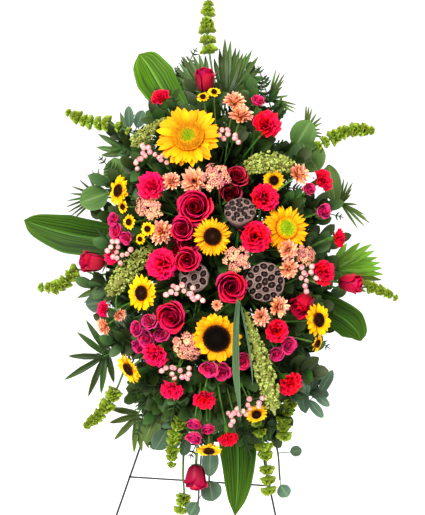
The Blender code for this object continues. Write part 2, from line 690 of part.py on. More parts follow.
# Rings of each bloom for a diameter of 1, facing +Z: radius, height, how far the ring's points swing in
# and out, how far they swing down and up, and 1 where that swing is half a turn on.
PROFILES = {
    "rose": (8, [(0.15, -0.40, 0, 0, 0), (0.44, -0.14, 0.02, 0, 0), (0.49, 0.05, 0.05, 0.05, 0),
                 (0.36, 0.00, 0, 0, 0), (0.34, 0.17, 0.03, 0.03, 1), (0.21, 0.09, 0, 0, 1),
                 (0.17, 0.21, 0.02, 0.02, 0), (0, 0.12, 0, 0, 0)]),
    "small_rose": (8, [(0.43, -0.16, 0.02, 0, 0), (0.49, 0.07, 0.05, 0.05, 0), (0.34, 0.02, 0, 0, 0),
                       (0.27, 0.21, 0.04, 0.03, 1), (0, 0.10, 0, 0, 0)]),
    "rose_bud": (8, [(0.20, -0.52, 0, 0, 0), (0.46, -0.18, 0.02, 0, 0), (0.44, 0.32, 0.05, 0.05, 0),
                     (0.30, 0.26, 0, 0, 0), (0.24, 0.46, 0.04, 0.03, 1), (0, 0.34, 0, 0, 0)]),
    "spray_rose": (6, [(0.42, -0.20, 0, 0, 0), (0.46, 0.13, 0.05, 0.06, 0), (0.25, 0.06, 0, 0, 1),
                       (0, 0.28, 0, 0, 0)]),
    "carnation": (8, [(0.15, -0.28, 0, 0, 0), (0.45, -0.04, 0.08, 0.07, 0), (0.31, 0.07, -0.03, 0, 0),
                      (0.33, 0.22, 0.08, 0.05, 1), (0, 0.26, 0, 0, 0)]),
    "pom": (10, [(0.42, -0.05, 0.09, 0.04, 0), (0.29, 0.07, -0.03, 0, 0), (0.28, 0.17, 0.09, 0.03, 1),
                 (0, 0.26, 0, 0, 0)]),
    "yarrow": (10, [(0.43, -0.06, 0.06, 0.03, 0), (0.39, 0.06, 0.07, 0.05, 1), (0.21, 0.13, 0.04, 0.06, 0),
                    (0, 0.15, 0, 0, 0)]),
}


def profile_rings(kind, size):
    sides, profile = PROFILES[kind]
    rings = []
    for radius, height, wave, lift, turn in profile:
        ring = []
        for k in range(sides if radius else 1):
            angle = 2 * math.pi * k / sides
            swing = math.cos(math.pi * (k + turn)) if radius else 0
            reach = (radius + wave * swing) * size
            ring.append(Vector((reach * math.cos(angle), reach * math.sin(angle), (height - lift * swing) * size)))
        rings.append(ring)
    return rings


def petal_ring(size, petals, inner, shoulder, drop, rise, z=0.0):
    """The outline of a ring of petals: inner and shoulder are shares of the tips' radius, petals bend
    down by drop, and every other one is raised by rise."""
    ring = []
    step = 2 * math.pi / petals
    outline = [(-0.5, inner, 0.0), (-0.26, shoulder, 0.6), (0.0, 1.0, 1.0), (0.26, shoulder, 0.6)]
    if size < 0.037:
        outline = [(-0.5, inner, 0.0), (0.0, 1.0, 1.0)]
    for k in range(petals):
        lift = rise * size * (1 if k % 2 else -1)
        for share, reach, height in outline:
            angle = (k + share) * step
            ring.append(Vector((size / 2 * reach * math.cos(angle), size / 2 * reach * math.sin(angle),
                                z - drop * size * reach**2 + lift * height)))
    return ring


SUNFLOWER_LEVEL = 0.006
DISC_RADIUS = {"sunflower_top": 0.031, "sunflower_right": 0.022, "sunflower_centre": 0.018,
               "sunflower_lower": 0.027}


def sunflower_rings(size, name):
    petals = 18 if size > 0.12 else 16
    return [petal_ring(size, petals, 0.58, 0.82, 0.0, 0.03), circle(DISC_RADIUS[name], 10, SUNFLOWER_LEVEL)]


def small_sunflower_rings(size, name):
    petals, sides = (8, 4) if size < 0.037 else (10, 5)
    return [petal_ring(size, petals, 0.5, 0.82, 0.0, 0.02), circle(size * 0.2, sides, 0.002),
            [Vector((0, 0, 0.008))]]


def lotus_rings(size, name):
    """The pod, whose pits are cut afterwards."""
    radius = size / 2
    return [circle(radius * 0.32, 10, -0.036), circle(radius, 10, -0.003), circle(radius * 0.95, 10, 0.004)]


def pit_places(size):
    """Pits of a lotus pod: one in the middle and one or two rings."""
    radius = size / 2
    if size > 0.07:
        return [Vector(), *circle(radius * 0.38, 4, 0.0, 0.3), *circle(radius * 0.73, 8, 0.0, 0.1)]
    return [Vector(), *circle(radius * 0.62, 6, 0.0, 0.8)]


def head_rings(kind, size, name):
    """A bloom's rings after its stem's end, round its own middle."""
    if kind == "sunflower":
        return sunflower_rings(size, name)
    if kind in ("small_sunflower", "mini_sunflower"):
        return small_sunflower_rings(size, name)
    if kind == "lotus":
        return lotus_rings(size, name)
    if kind == "rose" and size < 0.055:
        kind = "small_rose"
    return profile_rings(kind, size)


# How far behind its middle a bloom's stem ends, as a share of its diameter plus a length.
STEM_END = {"sunflower": (0, 0.014), "small_sunflower": (0, 0.010), "mini_sunflower": (0, 0.006),
            "pom": (0.28, 0), "yarrow": (0.30, 0), "lotus": (0, 0.044), "rose": (0.46, 0),
            "rose_bud": (0.62, 0), "spray_rose": (0.48, 0), "carnation": (0.68, 0)}
STEM_RADIUS = {"sunflower": 0.0030, "small_sunflower": 0.0022, "mini_sunflower": 0.0016, "pom": 0.0018,
               "yarrow": 0.0020, "lotus": 0.0030, "rose": 0.0026, "rose_bud": 0.0026, "spray_rose": 0.0018,
               "carnation": 0.0021, "berry": 0.0016, "leaf": 0.0020}
PEG_RADIUS = 0.0034


def bloom_face(bloom):
    across, down = from_centre(bloom.u, bloom.v)
    right = bloom.right if bloom.right is not None else DOME_TILT * across
    up = bloom.up if bloom.up is not None else -DOME_TILT * down
    return facing(right, up)


Root = namedtuple("Root", "place out")


def root_slots():
    """Every place where a stem may enter the foam, by row."""
    rows = {"front": [], "side": [], "back": []}
    edge_ups = [FOAM_BOTTOM + 0.02 + SLOT_PITCH * k for k in range(10)]
    face_ups = [FOAM_BOTTOM + 0.04 + SLOT_PITCH * k for k in range(9)]
    for row, out in (("back", ROW_BACK), ("side", ROW_FRONT)):
        for side in (-1, 1):
            for up in edge_ups:
                rows[row].append(Root(frame_point(side * FOAM_HALF_WIDTH, up, out), side * X_AXIS))
        for x in (-0.03, 0.0, 0.03):
            rows[row].append(Root(frame_point(x, FOAM_TOP, out), FRAME_UP))
            rows[row].append(Root(frame_point(x, FOAM_BOTTOM, out), -FRAME_UP))
    for x in (-0.03, 0.0, 0.03):
        for up in face_ups:
            rows["front"].append(Root(frame_point(x, up, FOAM_FRONT), FRAME_OUT))
    rows["front"] += rows["side"]
    return rows


Item = namedtuple("Item", "name part tree")
# Ways to bend a stem: how far aside, as a share of its length, and where along it.
BENDS = [(0, 0, 0), (0.07, 1, 1), (0.14, 1, 1), (0.16, 1, 0), (0.16, 0, 1), (0.22, 1, 1), (0.3, 1, 0),
         (0.3, 0, 1), (0.32, 1, 1), (0.44, 1, 1)]


class Layout:
    """Places heads and leaves clear of each other, gives each group a root in the foam, and bends each
    stem clear of what is already there."""

    def __init__(self):
        self.rows = root_slots()
        self.taken = []
        self.items = []
        self.holes = []

    def add(self, name, part, mesh):
        self.items.append(Item(name, part, BVHTree.FromPolygons(mesh[0], mesh[1])))

    def crossings(self, mesh, skip):
        """How many faces of other items this mesh meets."""
        tree = BVHTree.FromPolygons(mesh[0], mesh[1])
        return sum(len(item.tree.overlap(tree)) for item in self.items if not skip(item))

    def settle(self, name, part, shape, sink, steps=16, step=0.003):
        """Moves a shape back by steps along its line of sight until it is clear. shape makes the mesh for
        a distance back, and the distance is returned."""
        best, least = 0.0, None
        for k in range(steps):
            back = sink + k * step
            count = self.crossings(shape(back, 1.03), lambda item: False)
            if least is None or count < least:
                best, least = back, count
            if count == 0:
                break
        self.add(name, part, shape(best, 1.0))
        return best

    def free_roots(self, row, aims):
        """The free roots of a row, the one that looks best towards the middle of aims first."""
        middle = sum(aims, Vector()) / len(aims)
        free = [r for r in self.rows[row] if all((r.place - t.place).length > 0.004 for t in self.taken)]
        return sorted(free, key=lambda r: (middle - r.place - r.out * 0.10).length)

    def lead(self, name, fork, out, end, arrive, radius, own):
        """A line from fork to end, arriving along arrive, and how much it crosses."""
        toward = end - fork
        turn = basis(toward)
        leave = (out * 0.5 + toward.normalized()).normalized() * toward.length * 0.33
        back = arrive * toward.length * 0.33
        count = 2 if toward.length < 0.25 else 3
        best, least = None, None
        for bend, first, last in BENDS:
            for k in range(12 if bend else 1):
                angle = k * math.pi / 6
                side = turn @ Vector((math.cos(angle), math.sin(angle), 0)) * bend * toward.length
                points = bezier(fork, fork + leave + side * first, end - back + side * last, end, count)
                room = tube([*points[:-1], end - arrive * 0.001], radius + 0.0010, 3)
                met = self.crossings(room, lambda item: item.name == name and item.part in ("stem", own))
                if least is None or met < least:
                    best, least = points, met
                if met == 0:
                    return best, 0
        return best, least

    def root_group(self, name, row, ends, radius):
        """Chooses a group's root and its leads. ends holds each lead's end, its direction and its own part."""
        best, least = None, None
        drop = (PEG_RISE - 0.003) / len(ends)
        for root in self.free_roots(row, [end for end, *_ in ends])[:12]:
            leads, total = [], 0
            for k, (end, arrive, own) in enumerate(ends):
                fork = root.place + root.out * (PEG_RISE - drop * k)
                points, met = self.lead(name, fork, root.out, end, arrive, radius, own)
                leads.append(points)
                total += met
            if least is None or total < least:
                best, least = (root, leads), total
            if total == 0:
                break
        root, leads = best
        self.taken.append(root)
        start = root.place - root.out * PEG_DEPTH
        for points in leads:
            self.add(name, "stem", tube(points, radius, 3))
        self.add(name, "stem", tube([start, leads[0][0]], PEG_RADIUS, 3))
        leads[0] = [start, *leads[0]]
        return leads

    def stalk(self, lead, radius, hint=None, arrive=None):
        """A lead's rings, thicker where it stands in the foam, and the foam's hole for it."""
        first = (lead[1] - lead[0]).length > PEG_DEPTH + 0.001 and any(
            (lead[0] - (root.place - root.out * PEG_DEPTH)).length < 1e-6 for root in self.taken)
        radii = [PEG_RADIUS, PEG_RADIUS] + [radius] * (len(lead) - 2) if first else radius
        rings = tube_rings(lead, radii, 3, hint, arrive)
        if first:
            way = (lead[1] - lead[0]).normalized()
            bottom = [lead[0] + (p - lead[0]) * (1 + HOLE_CLEARANCE * 2 / PEG_RADIUS) - way * HOLE_CLEARANCE
                      for p in rings[0]]
            self.holes.append(loft([bottom, [p + way * (PEG_DEPTH + HOLE_CLEARANCE + 0.004) for p in bottom]]))
        return rings


def stem_points(path):
    return [seen(*p) for p in path]


def nearest(points, place):
    """The nearest point of a polyline to a place."""
    best = None
    for a, b in zip(points[:-1], points[1:]):
        t = max(0.0, min(1.0, (place - a).dot(b - a) / max((b - a).length_squared, 1e-12)))
        p = a.lerp(b, t)
        if best is None or (p - place).length < (best - place).length:
            best = p
    return best


def place_heads(layout):
    """Where every bloom's middle is, after it has been moved back clear of those placed before it."""
    heads = {}
    for name, group in BLOOMS.items():
        heads[name] = []
        for number, bloom in enumerate(group.blooms):
            size, face = bloom.size / 1000, bloom_face(bloom)
            hint = VIEW_RIGHT * math.cos(number * 2.4) + VIEW_TOP * math.sin(number * 2.4)
            share, length = STEM_END[group.kind]
            rings = [circle(0.002, 3, -share * size - length), *head_rings(group.kind, size, name)]
            if group.kind == "sunflower":
                rings.append([Vector((0, 0, SUNFLOWER_LEVEL + DISC_RADIUS[name] * 0.35))])
            local = loft(rings)

            def shape(back, grow, bloom=bloom, face=face, hint=hint, local=local):
                place = seen(bloom.u, bloom.v, dome(bloom.u, bloom.v) - back)
                return placed(placed(local, Matrix.Scale(grow, 4)), at(place, face, hint))

            back = layout.settle(name, number, shape, bloom.back / 1000)
            place = seen(bloom.u, bloom.v, dome(bloom.u, bloom.v) - back)
            heads[name].append((place, face, hint, size))
    return heads


def make_blooms(layout, heads):
    for name, group in BLOOMS.items():
        share, length = STEM_END[group.kind]
        radius = STEM_RADIUS[group.kind]
        ends = [(place - face * (share * size + length), face, number)
                for number, (place, face, hint, size) in enumerate(heads[name])]
        leads = layout.root_group(name, group.row, ends, radius)
        parts = []
        for lead, (place, face, hint, size) in zip(leads, heads[name]):
            matrix = at(place, face, hint)
            rings = [[matrix @ p for p in ring] for ring in head_rings(group.kind, size, name)]
            parts.append(loft(layout.stalk(lead, radius, hint, face) + rings))
        made = node(name + "_petals" if group.kind == "sunflower" else name, parts, group.colour)
        if group.kind == "lotus":
            cut_pits(made, heads[name])
        if group.kind == "sunflower":
            make_disc(name, *heads[name][0][:3])


def cut_pits(pods, heads):
    """Sinks the seed pits into the flat tops of the lotus pods."""
    pits = []
    for place, face, hint, size in heads:
        matrix = at(place, face, hint)
        for spot in pit_places(size):
            pit = loft([circle(0.0028, 4, 0.0), circle(0.0042, 4, 0.009)])
            pits.append(placed(placed(pit, Matrix.Translation(spot)), matrix))
    combine(pods, pits, "DIFFERENCE")


def make_disc(name, place, face, hint):
    """A sunflower's seed disc, which sits on the petals' level middle, with its seeds in relief."""
    radius = DISC_RADIUS[name] - 0.001
    height = radius * 0.28
    bottom = SUNFLOWER_LEVEL + GAP
    sides = 12
    rings = [circle(radius * 0.92, sides, bottom), circle(radius, sides, bottom + height * 0.5),
             circle(radius * 0.72, sides, bottom + height), circle(radius * 0.36, sides, bottom + height * 0.5),
             [Vector((0, 0, bottom + height * 0.7))]]
    for k in range(sides):
        if k % 2:
            rings[2][k].z += height * 0.25
            rings[1][k] *= 0.96
        else:
            rings[3][k].z += height * 0.2
    colour = "disc_green" if name in ("sunflower_top", "sunflower_right") else "disc_brown"
    node(name + "_disc", [placed(loft(rings), at(place, face, hint))], colour)


def berry_rings(seat, berry):
    """A berry on its stalk, which starts thin inside its stem."""
    way = (berry - seat).normalized()
    turn = basis(way)
    rings = [[seat]]
    for radius, ahead, sides, twist in ((0.0011, -0.85, 3, 0), (0.0052, -0.4, 4, 0), (0.0050, 0.45, 4, 0.8)):
        rings.append([berry + turn @ p for p in circle(radius, sides, ahead * BERRY_SIZE / 2, twist)])
    rings.append([berry + way * BERRY_SIZE * 0.55])
    return rings


def place_berries(layout):
    """Each cluster's joint, direction and berries, moved back clear of the blooms."""
    found = {}
    for name, clusters in BERRIES.items():
        found[name] = []
        for number, (sink, pixels) in enumerate(clusters):
            def cluster(back, pixels=pixels):
                berries = [seen(u, v, dome(u, v) - back) for u, v in pixels]
                middle = sum(berries, Vector()) / len(berries)
                way = ((middle - frame_point(0, 1.284, 0.05)).normalized() + FRAME_OUT).normalized()
                return middle - way * 0.032, way, berries

            def shape(back, grow):
                joint, way, berries = cluster(back)
                points, faces = [], []
                for berry in berries:
                    more = loft(berry_rings(joint, berry))
                    faces += [tuple(k + len(points) for k in face) for face in more[1]]
                    points += more[0]
                return points, faces

            found[name].append(cluster(layout.settle(name, number, shape, sink / 1000)))
    return found


def make_berries(layout, clusters):
    radius = STEM_RADIUS["berry"]
    for name, found in clusters.items():
        ends = [(joint, way, number) for number, (joint, way, _) in enumerate(found)]
        leads = layout.root_group(name, "front", ends, radius)
        parts = []
        for lead, (joint, way, berries) in zip(leads, found):
            parts.append(loft(layout.stalk([*lead[:-1], joint + way * 0.002], radius)))
            parts += [loft(berry_rings(lead[-1].lerp(lead[-2], 0.04 + 0.09 * k), berry))
                      for k, berry in enumerate(berries)]
        node(name, parts, "berry_pink")


def leaf_plan(name):
    """An aspidistra leaf's points, widths and rings."""
    points = [seen(u, v, out) for u, v, out, _ in ASPIDISTRAS[name]]
    widths = [width / 1000 for *_, width in ASPIDISTRAS[name]]
    return points, blade_rings(points, widths, -LOOK, 0.0024, 0.22, sides=4)


def fan_tips(fan):
    """A frond's tips, alternately a little forward and back."""
    return [seen(*tip, fan.out + (0.004 if k % 2 else -0.004)) for k, tip in enumerate(fan.tips)]


def eucalyptus_leaf(leaf, points):
    """A round leaf on its stalk, which begins inside the stem."""
    u, v, length, width, angle = leaf
    out = sum((p - FEET).dot(FRAME_OUT) for p in points) / len(points) + 0.006
    middle = seen(u, v, out)
    way = VIEW_RIGHT * math.cos(math.radians(angle)) + VIEW_TOP * math.sin(math.radians(angle))
    start, end = middle - way * length / 2000, middle + way * length / 2000
    seat = nearest([*points[:-1], points[-1].lerp(points[-2], 0.1)], start)
    start += way * max(0.0, 0.003 - (start - seat).dot(way))
    line = [start, middle.lerp(start, 0.4), middle.lerp(end, 0.4) + FRAME_OUT * 0.002, end]
    rings = blade_rings(line, [0.003, width / 1000, width / 1100, 0], -LOOK, 0.0020)
    return [[seat + (p - start) * 0.8 for p in rings[0]], *rings]


def whorled_rings(points, whorls, out):
    """A stem of bells as one surface: at each whorl it widens into a lobed cup and returns."""
    rings = []
    seats = []
    for u, v, size in whorls:
        seat = nearest(points, seen(u, v, out))
        gone = 0.0
        for a, b in zip(points[:-1], points[1:]):
            if (nearest([a, b], seat) - seat).length < 1e-7:
                seats.append((gone + (seat - a).length, seat, (b - a).normalized(), size / 1000))
                break
            gone += (b - a).length
    seats.sort(key=lambda s: s[0])
    for k, (_, seat, ahead, size) in enumerate(seats):
        turn = basis(ahead, VIEW_RIGHT)
        half = math.pi / 6 * (k % 2) * 2
        for radius, valley, along in ((size * 0.16, size * 0.16, -0.34), (size * 0.53, size * 0.42, 0.10),
                                      (0.0028, 0.0028, -0.02)):
            ring = []
            for j in range(6):
                reach = radius if (j + k) % 2 else valley
                lean = along * size + (0.06 * size if (j + k) % 2 == 0 and along > 0 else 0)
                ring.append(seat + turn @ Vector((reach * math.cos(j * math.pi / 3), reach * math.sin(j * math.pi / 3),
                                                  lean)))
            rings.append(ring)
    rings.append([seats[-1][1] + seats[-1][2] * seats[-1][3] * 0.3])
    return rings


def tassel_rings(points, radii):
    """An amaranth tassel: rings whose points stand out and in by turns, like its bunched florets."""
    rings = []
    count = 9
    total = len(points) - 1
    for i in range(count):
        t = (i + 0.4) / count * total
        k = min(int(t), total - 1)
        middle = points[k].lerp(points[k + 1], t - k)
        radius = radii[k] + (radii[k + 1] - radii[k]) * (t - k)
        turn = basis(points[k + 1] - points[k], VIEW_RIGHT)
        rings.append([middle + turn @ p * (1.0 if (i + j) % 2 else 0.58)
                      for j, p in enumerate(circle(radius, 6))])
    rings.append([points[-1] + (points[-1] - points[-2]).normalized() * 0.010])
    return rings


def fern_rings(start, end, half_width, pairs=4, room=0.0):
    """A fern frond in one thin arched outline, cut to the rib into pairs of leaflets, with room round it."""
    points, widths = [], []
    for k in range(pairs * 2):
        t = 0.06 + 0.9 * k / (pairs * 2)
        points.append(start.lerp(end, t) + FRAME_OUT * 0.012 * (1 - (2 * t - 1) ** 2))
        widths.append(half_width * 2 * (1.05 - t) * (1 if k % 2 else 0.16) + room * 2)
    points.append(end)
    widths.append(0)
    return blade_rings(points, widths, FRAME_OUT, FROND_THICKNESS + room, sweep=0.25)


def fill_plans():
    """For each filling frond the node it grows in, and the ways it may lie as start, end and half width:
    the fullest first, then smaller or further back."""
    for count, inner, outer, back, half_width in FERN_FILL:
        for k in range(count):
            far, turn = math.sqrt(inner**2 + (outer**2 - inner**2) * (k + 0.5) / count), k * GOLDEN_TURN
            u = SPRAY_CENTRE[0] + SPRAY_HALF_SIZE[0] * far * math.cos(turn)
            v = SPRAY_CENTRE[1] + SPRAY_HALF_SIZE[1] * far * math.sin(turn)
            ways = []
            for size in (1.0, 0.78, 0.58):
                for sink, fan in ((0, 0), (0.014, 1), (0.028, -1), (0.006, -1), (0.020, 0), (0.034, 1)):
                    aim = turn + fan * FILL_FAN + 0.3 * math.sin(k * 1.7)
                    away = VIEW_RIGHT * math.cos(aim) - VIEW_TOP * math.sin(aim)
                    tip = seen(u, v, max(0.034, dome(u, v) - back / 1000 - sink)) + away * 0.012 * size
                    start = tip - (away + FRAME_OUT * 0.15) * FILL_LENGTH * size
                    ways.append((start, tip, half_width / 1000 * size))
            yield ("leatherleaf_left" if u < SPRAY_CENTRE[0] else "leatherleaf_right"), ways


def mark_foliage(layout):
    """Marks the room of every leaf and spike whose place the picture fixes."""
    for name in ASPIDISTRAS:
        layout.add(name, 0, loft(leaf_plan(name)[1]))
    for name, fans in FANS.items():
        for number, fan in enumerate(fans):
            hub, tips = seen(*fan.hub, fan.out), fan_tips(fan)
            away, normal = fan_frame(hub, tips)
            rings = tube_rings([hub - away * 0.01, hub], 0.002, 3, -normal, away)
            layout.add(name, number, fan_plate(rings, hub, tips, fan.width / 1000))
    for name, stems in EUCALYPTUS.items():
        for number, stem in enumerate(stems):
            points = stem_points(stem.path)
            layout.add(name, number, tube(points, 0.002, 3))
            for leaf in stem.parts:
                layout.add(name, number, loft(eucalyptus_leaf(leaf, points)))
    for name, stems in BELLS.items():
        for number, stem in enumerate(stems):
            layout.add(name, number, loft(whorled_rings(stem_points(stem.path), stem.parts, stem.path[1][2])))
    for name, path in AMARANTHS.items():
        layout.add(name, 0, loft(tassel_rings(*tassel_plan(path))))
    for name, fronds in FERNS.items():
        for number, (start, end, out, half_width) in enumerate(fronds):
            layout.add(name, number, loft(fern_rings(seen(*start, out), seen(*end, out), half_width / 1000)))
    for number, path in enumerate(GRASS_BLADES):
        layout.add("lily_grass", number, loft(grass_plan(path)[1]))


def tassel_plan(path):
    return [seen(u, v, out) for u, v, out, _ in path], [radius / 1000 for *_, radius in path]


def grass_plan(path):
    points = [seen(u, v, out) for u, v, out, _ in path]
    widths = [width / 1000 for *_, width in path]
    return points, blade_rings(points, widths, -LOOK, 0.0016, 0.15, sides=4)


def make_aspidistras(layout):
    for name in ASPIDISTRAS:
        points, rings = leaf_plan(name)
        way = (points[1] - points[0]).normalized()
        lead, = layout.root_group(name, "back", [(points[0] - way * 0.004, way, 0)], 0.0022)
        node(name, [loft(layout.stalk(lead, 0.0022, None, way) + rings)], "leaf_green")


def make_fans(layout):
    for name, fans in FANS.items():
        plans = []
        for fan in fans:
            hub, tips = seen(*fan.hub, fan.out), fan_tips(fan)
            plans.append((hub, tips, *fan_frame(hub, tips)))
        ends = [(hub, away, k) for k, (hub, _, away, _) in enumerate(plans)]
        parts = []
        for lead, fan, (hub, tips, away, normal) in zip(layout.root_group(name, "back", ends, 0.0020), fans, plans):
            parts.append(fan_plate(layout.stalk(lead, 0.0020, -normal, away), hub, tips, fan.width / 1000))
        node(name, parts, "palm_green" if name.startswith("palm") else "lobed_green")


def make_eucalyptus(layout):
    for name, stems in EUCALYPTUS.items():
        paths = [stem_points(stem.path) for stem in stems]
        ends = [(path[0], (path[1] - path[0]).normalized(), k) for k, path in enumerate(paths)]
        parts = []
        for lead, stem, points in zip(layout.root_group(name, "side", ends, 0.0018), stems, paths):
            parts.append(loft(layout.stalk(lead[:-1] + points, 0.0020)))
            parts += [loft(eucalyptus_leaf(leaf, points)) for leaf in stem.parts]
        node(name, parts, "eucalyptus")


def make_bells(layout):
    for name, stems in BELLS.items():
        plans = []
        for stem in stems:
            points = stem_points(stem.path)
            plans.append((points[0], (points[1] - points[0]).normalized(),
                          whorled_rings(points, stem.parts, stem.path[1][2])))
        ends = [(start, way, k) for k, (start, way, _) in enumerate(plans)]
        leads = layout.root_group(name, "side", ends, 0.0022)
        parts = [loft(layout.stalk(lead, 0.0022, VIEW_RIGHT, way) + rings)
                 for lead, (_, way, rings) in zip(leads, plans)]
        node(name, parts, "bell_green")


def make_amaranths(layout):
    for name, path in AMARANTHS.items():
        points, radii = tassel_plan(path)
        way = (points[1] - points[0]).normalized()
        start = points[0] - (way + FRAME_OUT).normalized() * 0.006
        lead, = layout.root_group(name, "front", [(start, (way + FRAME_OUT).normalized(), 0)], 0.0022)
        node(name, [loft(layout.stalk(lead, 0.0022, VIEW_RIGHT, way) + tassel_rings(points, radii))],
             "tassel_green")


def make_grass(layout):
    plans = [grass_plan(path) for path in GRASS_BLADES]
    ends = []
    for k, (points, _) in enumerate(plans):
        way = (points[1] - points[0]).normalized()
        ends.append((points[0] - (way + FRAME_OUT).normalized() * 0.008, (way + FRAME_OUT).normalized(), k))
    leads = layout.root_group("lily_grass", "front", ends, 0.0018)
    parts = [loft(layout.stalk(lead, 0.0018, None, way) + rings)
             for lead, (_, way, _), (_, rings) in zip(leads, ends, plans)]
    node("lily_grass", parts, "grass_green")


def fill_frond(layout, name, ways, lines, grown):
    """One filling frond in the first way to lie that is clear of everything, on a stalk from the nearest
    stem of its own fern, or nothing where there is no room."""
    for start, tip, half_width in ways:
        way = (tip - start).normalized()
        rooms = [loft(fern_rings(start - way * FILL_MARGIN + FRAME_OUT * rise,
                                 tip + way * FILL_MARGIN + FRAME_OUT * rise, half_width, FILL_PAIRS, FILL_MARGIN))
                 for rise in (0, FILL_MARGIN)]
        neck = tube([start - way * 0.004, start + way * 0.012], FILL_STALK + STALK_MARGIN, 3)
        point = tube([tip - way * 0.012, tip + way * FILL_MARGIN], STALK_MARGIN, 3)
        if (start - FEET).dot(FRAME_OUT) < FILL_LOW or any(
                layout.crossings(mesh, lambda item: False) for mesh in (*rooms, neck, point)):
            continue
        behind = start - way * FILL_BEHIND
        fork = min((nearest(line, behind) for line in lines), key=lambda p: (p - behind).length)
        out = (start - fork).normalized()
        lead = [fork, start]
        foot = tube([fork - out * 0.002, fork + out * 0.008], FILL_STALK * 2, 3)
        if layout.crossings(foot, lambda item: item.name == name):
            continue
        met = layout.crossings(tube([fork + out * 0.004, start], FILL_STALK + STALK_MARGIN, 3),
                               lambda item: item.name == name and item.part == "stem")
        if met or out.dot(way) < 0.6:
            lead, met = layout.lead(name, fork, out, start, way, FILL_STALK + STALK_MARGIN - 0.001, None)
        if met or (lead[-1] - lead[-2]).normalized().dot(way) < 0.4:
            continue
        rings = fern_rings(start, tip, half_width, FILL_PAIRS)
        stalk = tube_rings([fork - out * FILL_STALK * 0.7, *lead[1:]], FILL_STALK, 3, None, way)
        mesh = loft(stalk + rings)
        tree = BVHTree.FromPolygons(*mesh)
        if any(tree.overlap(other) for other in grown):
            grown.append(tree)
            layout.add(name, "fill", loft(rings))
            layout.add(name, "stem", tube(lead, FILL_STALK, 3))
            lines.append([lead[0].lerp(lead[1], 0.2), *lead[1:-1], lead[-1].lerp(lead[-2], 0.2)])
            return mesh
    return None


def make_ferns(layout):
    filling = list(fill_plans())
    for name, fronds in FERNS.items():
        plans = []
        for start, end, out, half_width in fronds:
            rings = fern_rings(seen(*start, out), seen(*end, out), half_width / 1000)
            way = (seen(*end, out) - seen(*start, out)).normalized()
            plans.append((seen(*start, out) - way * 0.003, way, rings))
        ends = [(start, way, k) for k, (start, way, _) in enumerate(plans)]
        leads = layout.root_group(name, "side", ends, 0.0020)
        parts = [loft(layout.stalk(lead, 0.0020, None, way) + rings)
                 for lead, (_, way, rings) in zip(leads, plans)]
        lines = [[lead[-2], lead[-1].lerp(lead[-2], 0.1)] for lead in leads]
        grown = [BVHTree.FromPolygons(*part) for part in parts]
        for owner, ways in filling:
            frond = fill_frond(layout, name, ways, lines, grown) if owner == name else None
            if frond:
                parts.append(frond)
        node(name, parts, "fern_green")


def box(low, high):
    """A block between two corners given on the leaning frame: sideways, up and out."""
    (x0, u0, o0), (x1, u1, o1) = low, high
    return loft([[frame_point(x0, u0, o), frame_point(x1, u0, o), frame_point(x1, u1, o), frame_point(x0, u1, o)]
                 for o in (o0, o1)])


def leg_half_width(up):
    return FOOT_HALF_SPREAD * (1 - up / LEGS_MEET)


def make_front_frame():
    """The front legs and neck are one bent wire, with two crossbars and a hook welded on."""
    kink = LEGS_MEET * (1 - NECK_HALF_WIDTH / FOOT_HALF_SPREAD)
    neck_top = EASEL_TOP - NECK_HALF_WIDTH
    right = [frame_point(FOOT_HALF_SPREAD, 0, 0), frame_point(NECK_HALF_WIDTH, kink, 0),
             frame_point(NECK_HALF_WIDTH, neck_top, 0)]
    arc = [frame_point(NECK_HALF_WIDTH * math.cos(a), neck_top + NECK_HALF_WIDTH * math.sin(a), 0)
           for a in (math.pi / 4, math.pi / 2, 3 * math.pi / 4)]
    left = [frame_point(-NECK_HALF_WIDTH, neck_top, 0), frame_point(-NECK_HALF_WIDTH, kink, 0),
            frame_point(-FOOT_HALF_SPREAD, 0, 0)]
    points, faces = tube(right + arc + left, WIRE_RADIUS, WIRE_SIDES)
    for end, inner in ((0, WIRE_SIDES), (len(points) - WIRE_SIDES, len(points) - 2 * WIRE_SIDES)):
        for k in range(WIRE_SIDES):
            along = points[end + k] - points[inner + k]
            points[end + k] = points[end + k] - along * (points[end + k].z / along.z)
    lower = leg_half_width(LOWER_BAR) + WIRE_RADIUS * 0.5
    pivot = leg_half_width(PIVOT_BAR) + WIRE_RADIUS * 0.5
    bars = [tube([frame_point(-lower, LOWER_BAR, 0), frame_point(lower, LOWER_BAR, 0)], BAR_RADIUS, WIRE_SIDES),
            tube([frame_point(-pivot, PIVOT_BAR, PIVOT_BAR_OUT), frame_point(pivot, PIVOT_BAR, PIVOT_BAR_OUT)],
                 BAR_RADIUS, PIVOT_SIDES)]
    hook = tube([frame_point(0, EASEL_TOP, -0.001), frame_point(0, EASEL_TOP, 0.022),
                 frame_point(0, EASEL_TOP + 0.007, 0.029), frame_point(0, EASEL_TOP + 0.022, 0.030)],
                WIRE_RADIUS * 0.95, WIRE_SIDES)
    node("easel_front_frame", [(points, faces), *bars, hook], "wire_black", smooth=True)


def pivot_point():
    return frame_point(0, PIVOT_BAR, PIVOT_BAR_OUT)


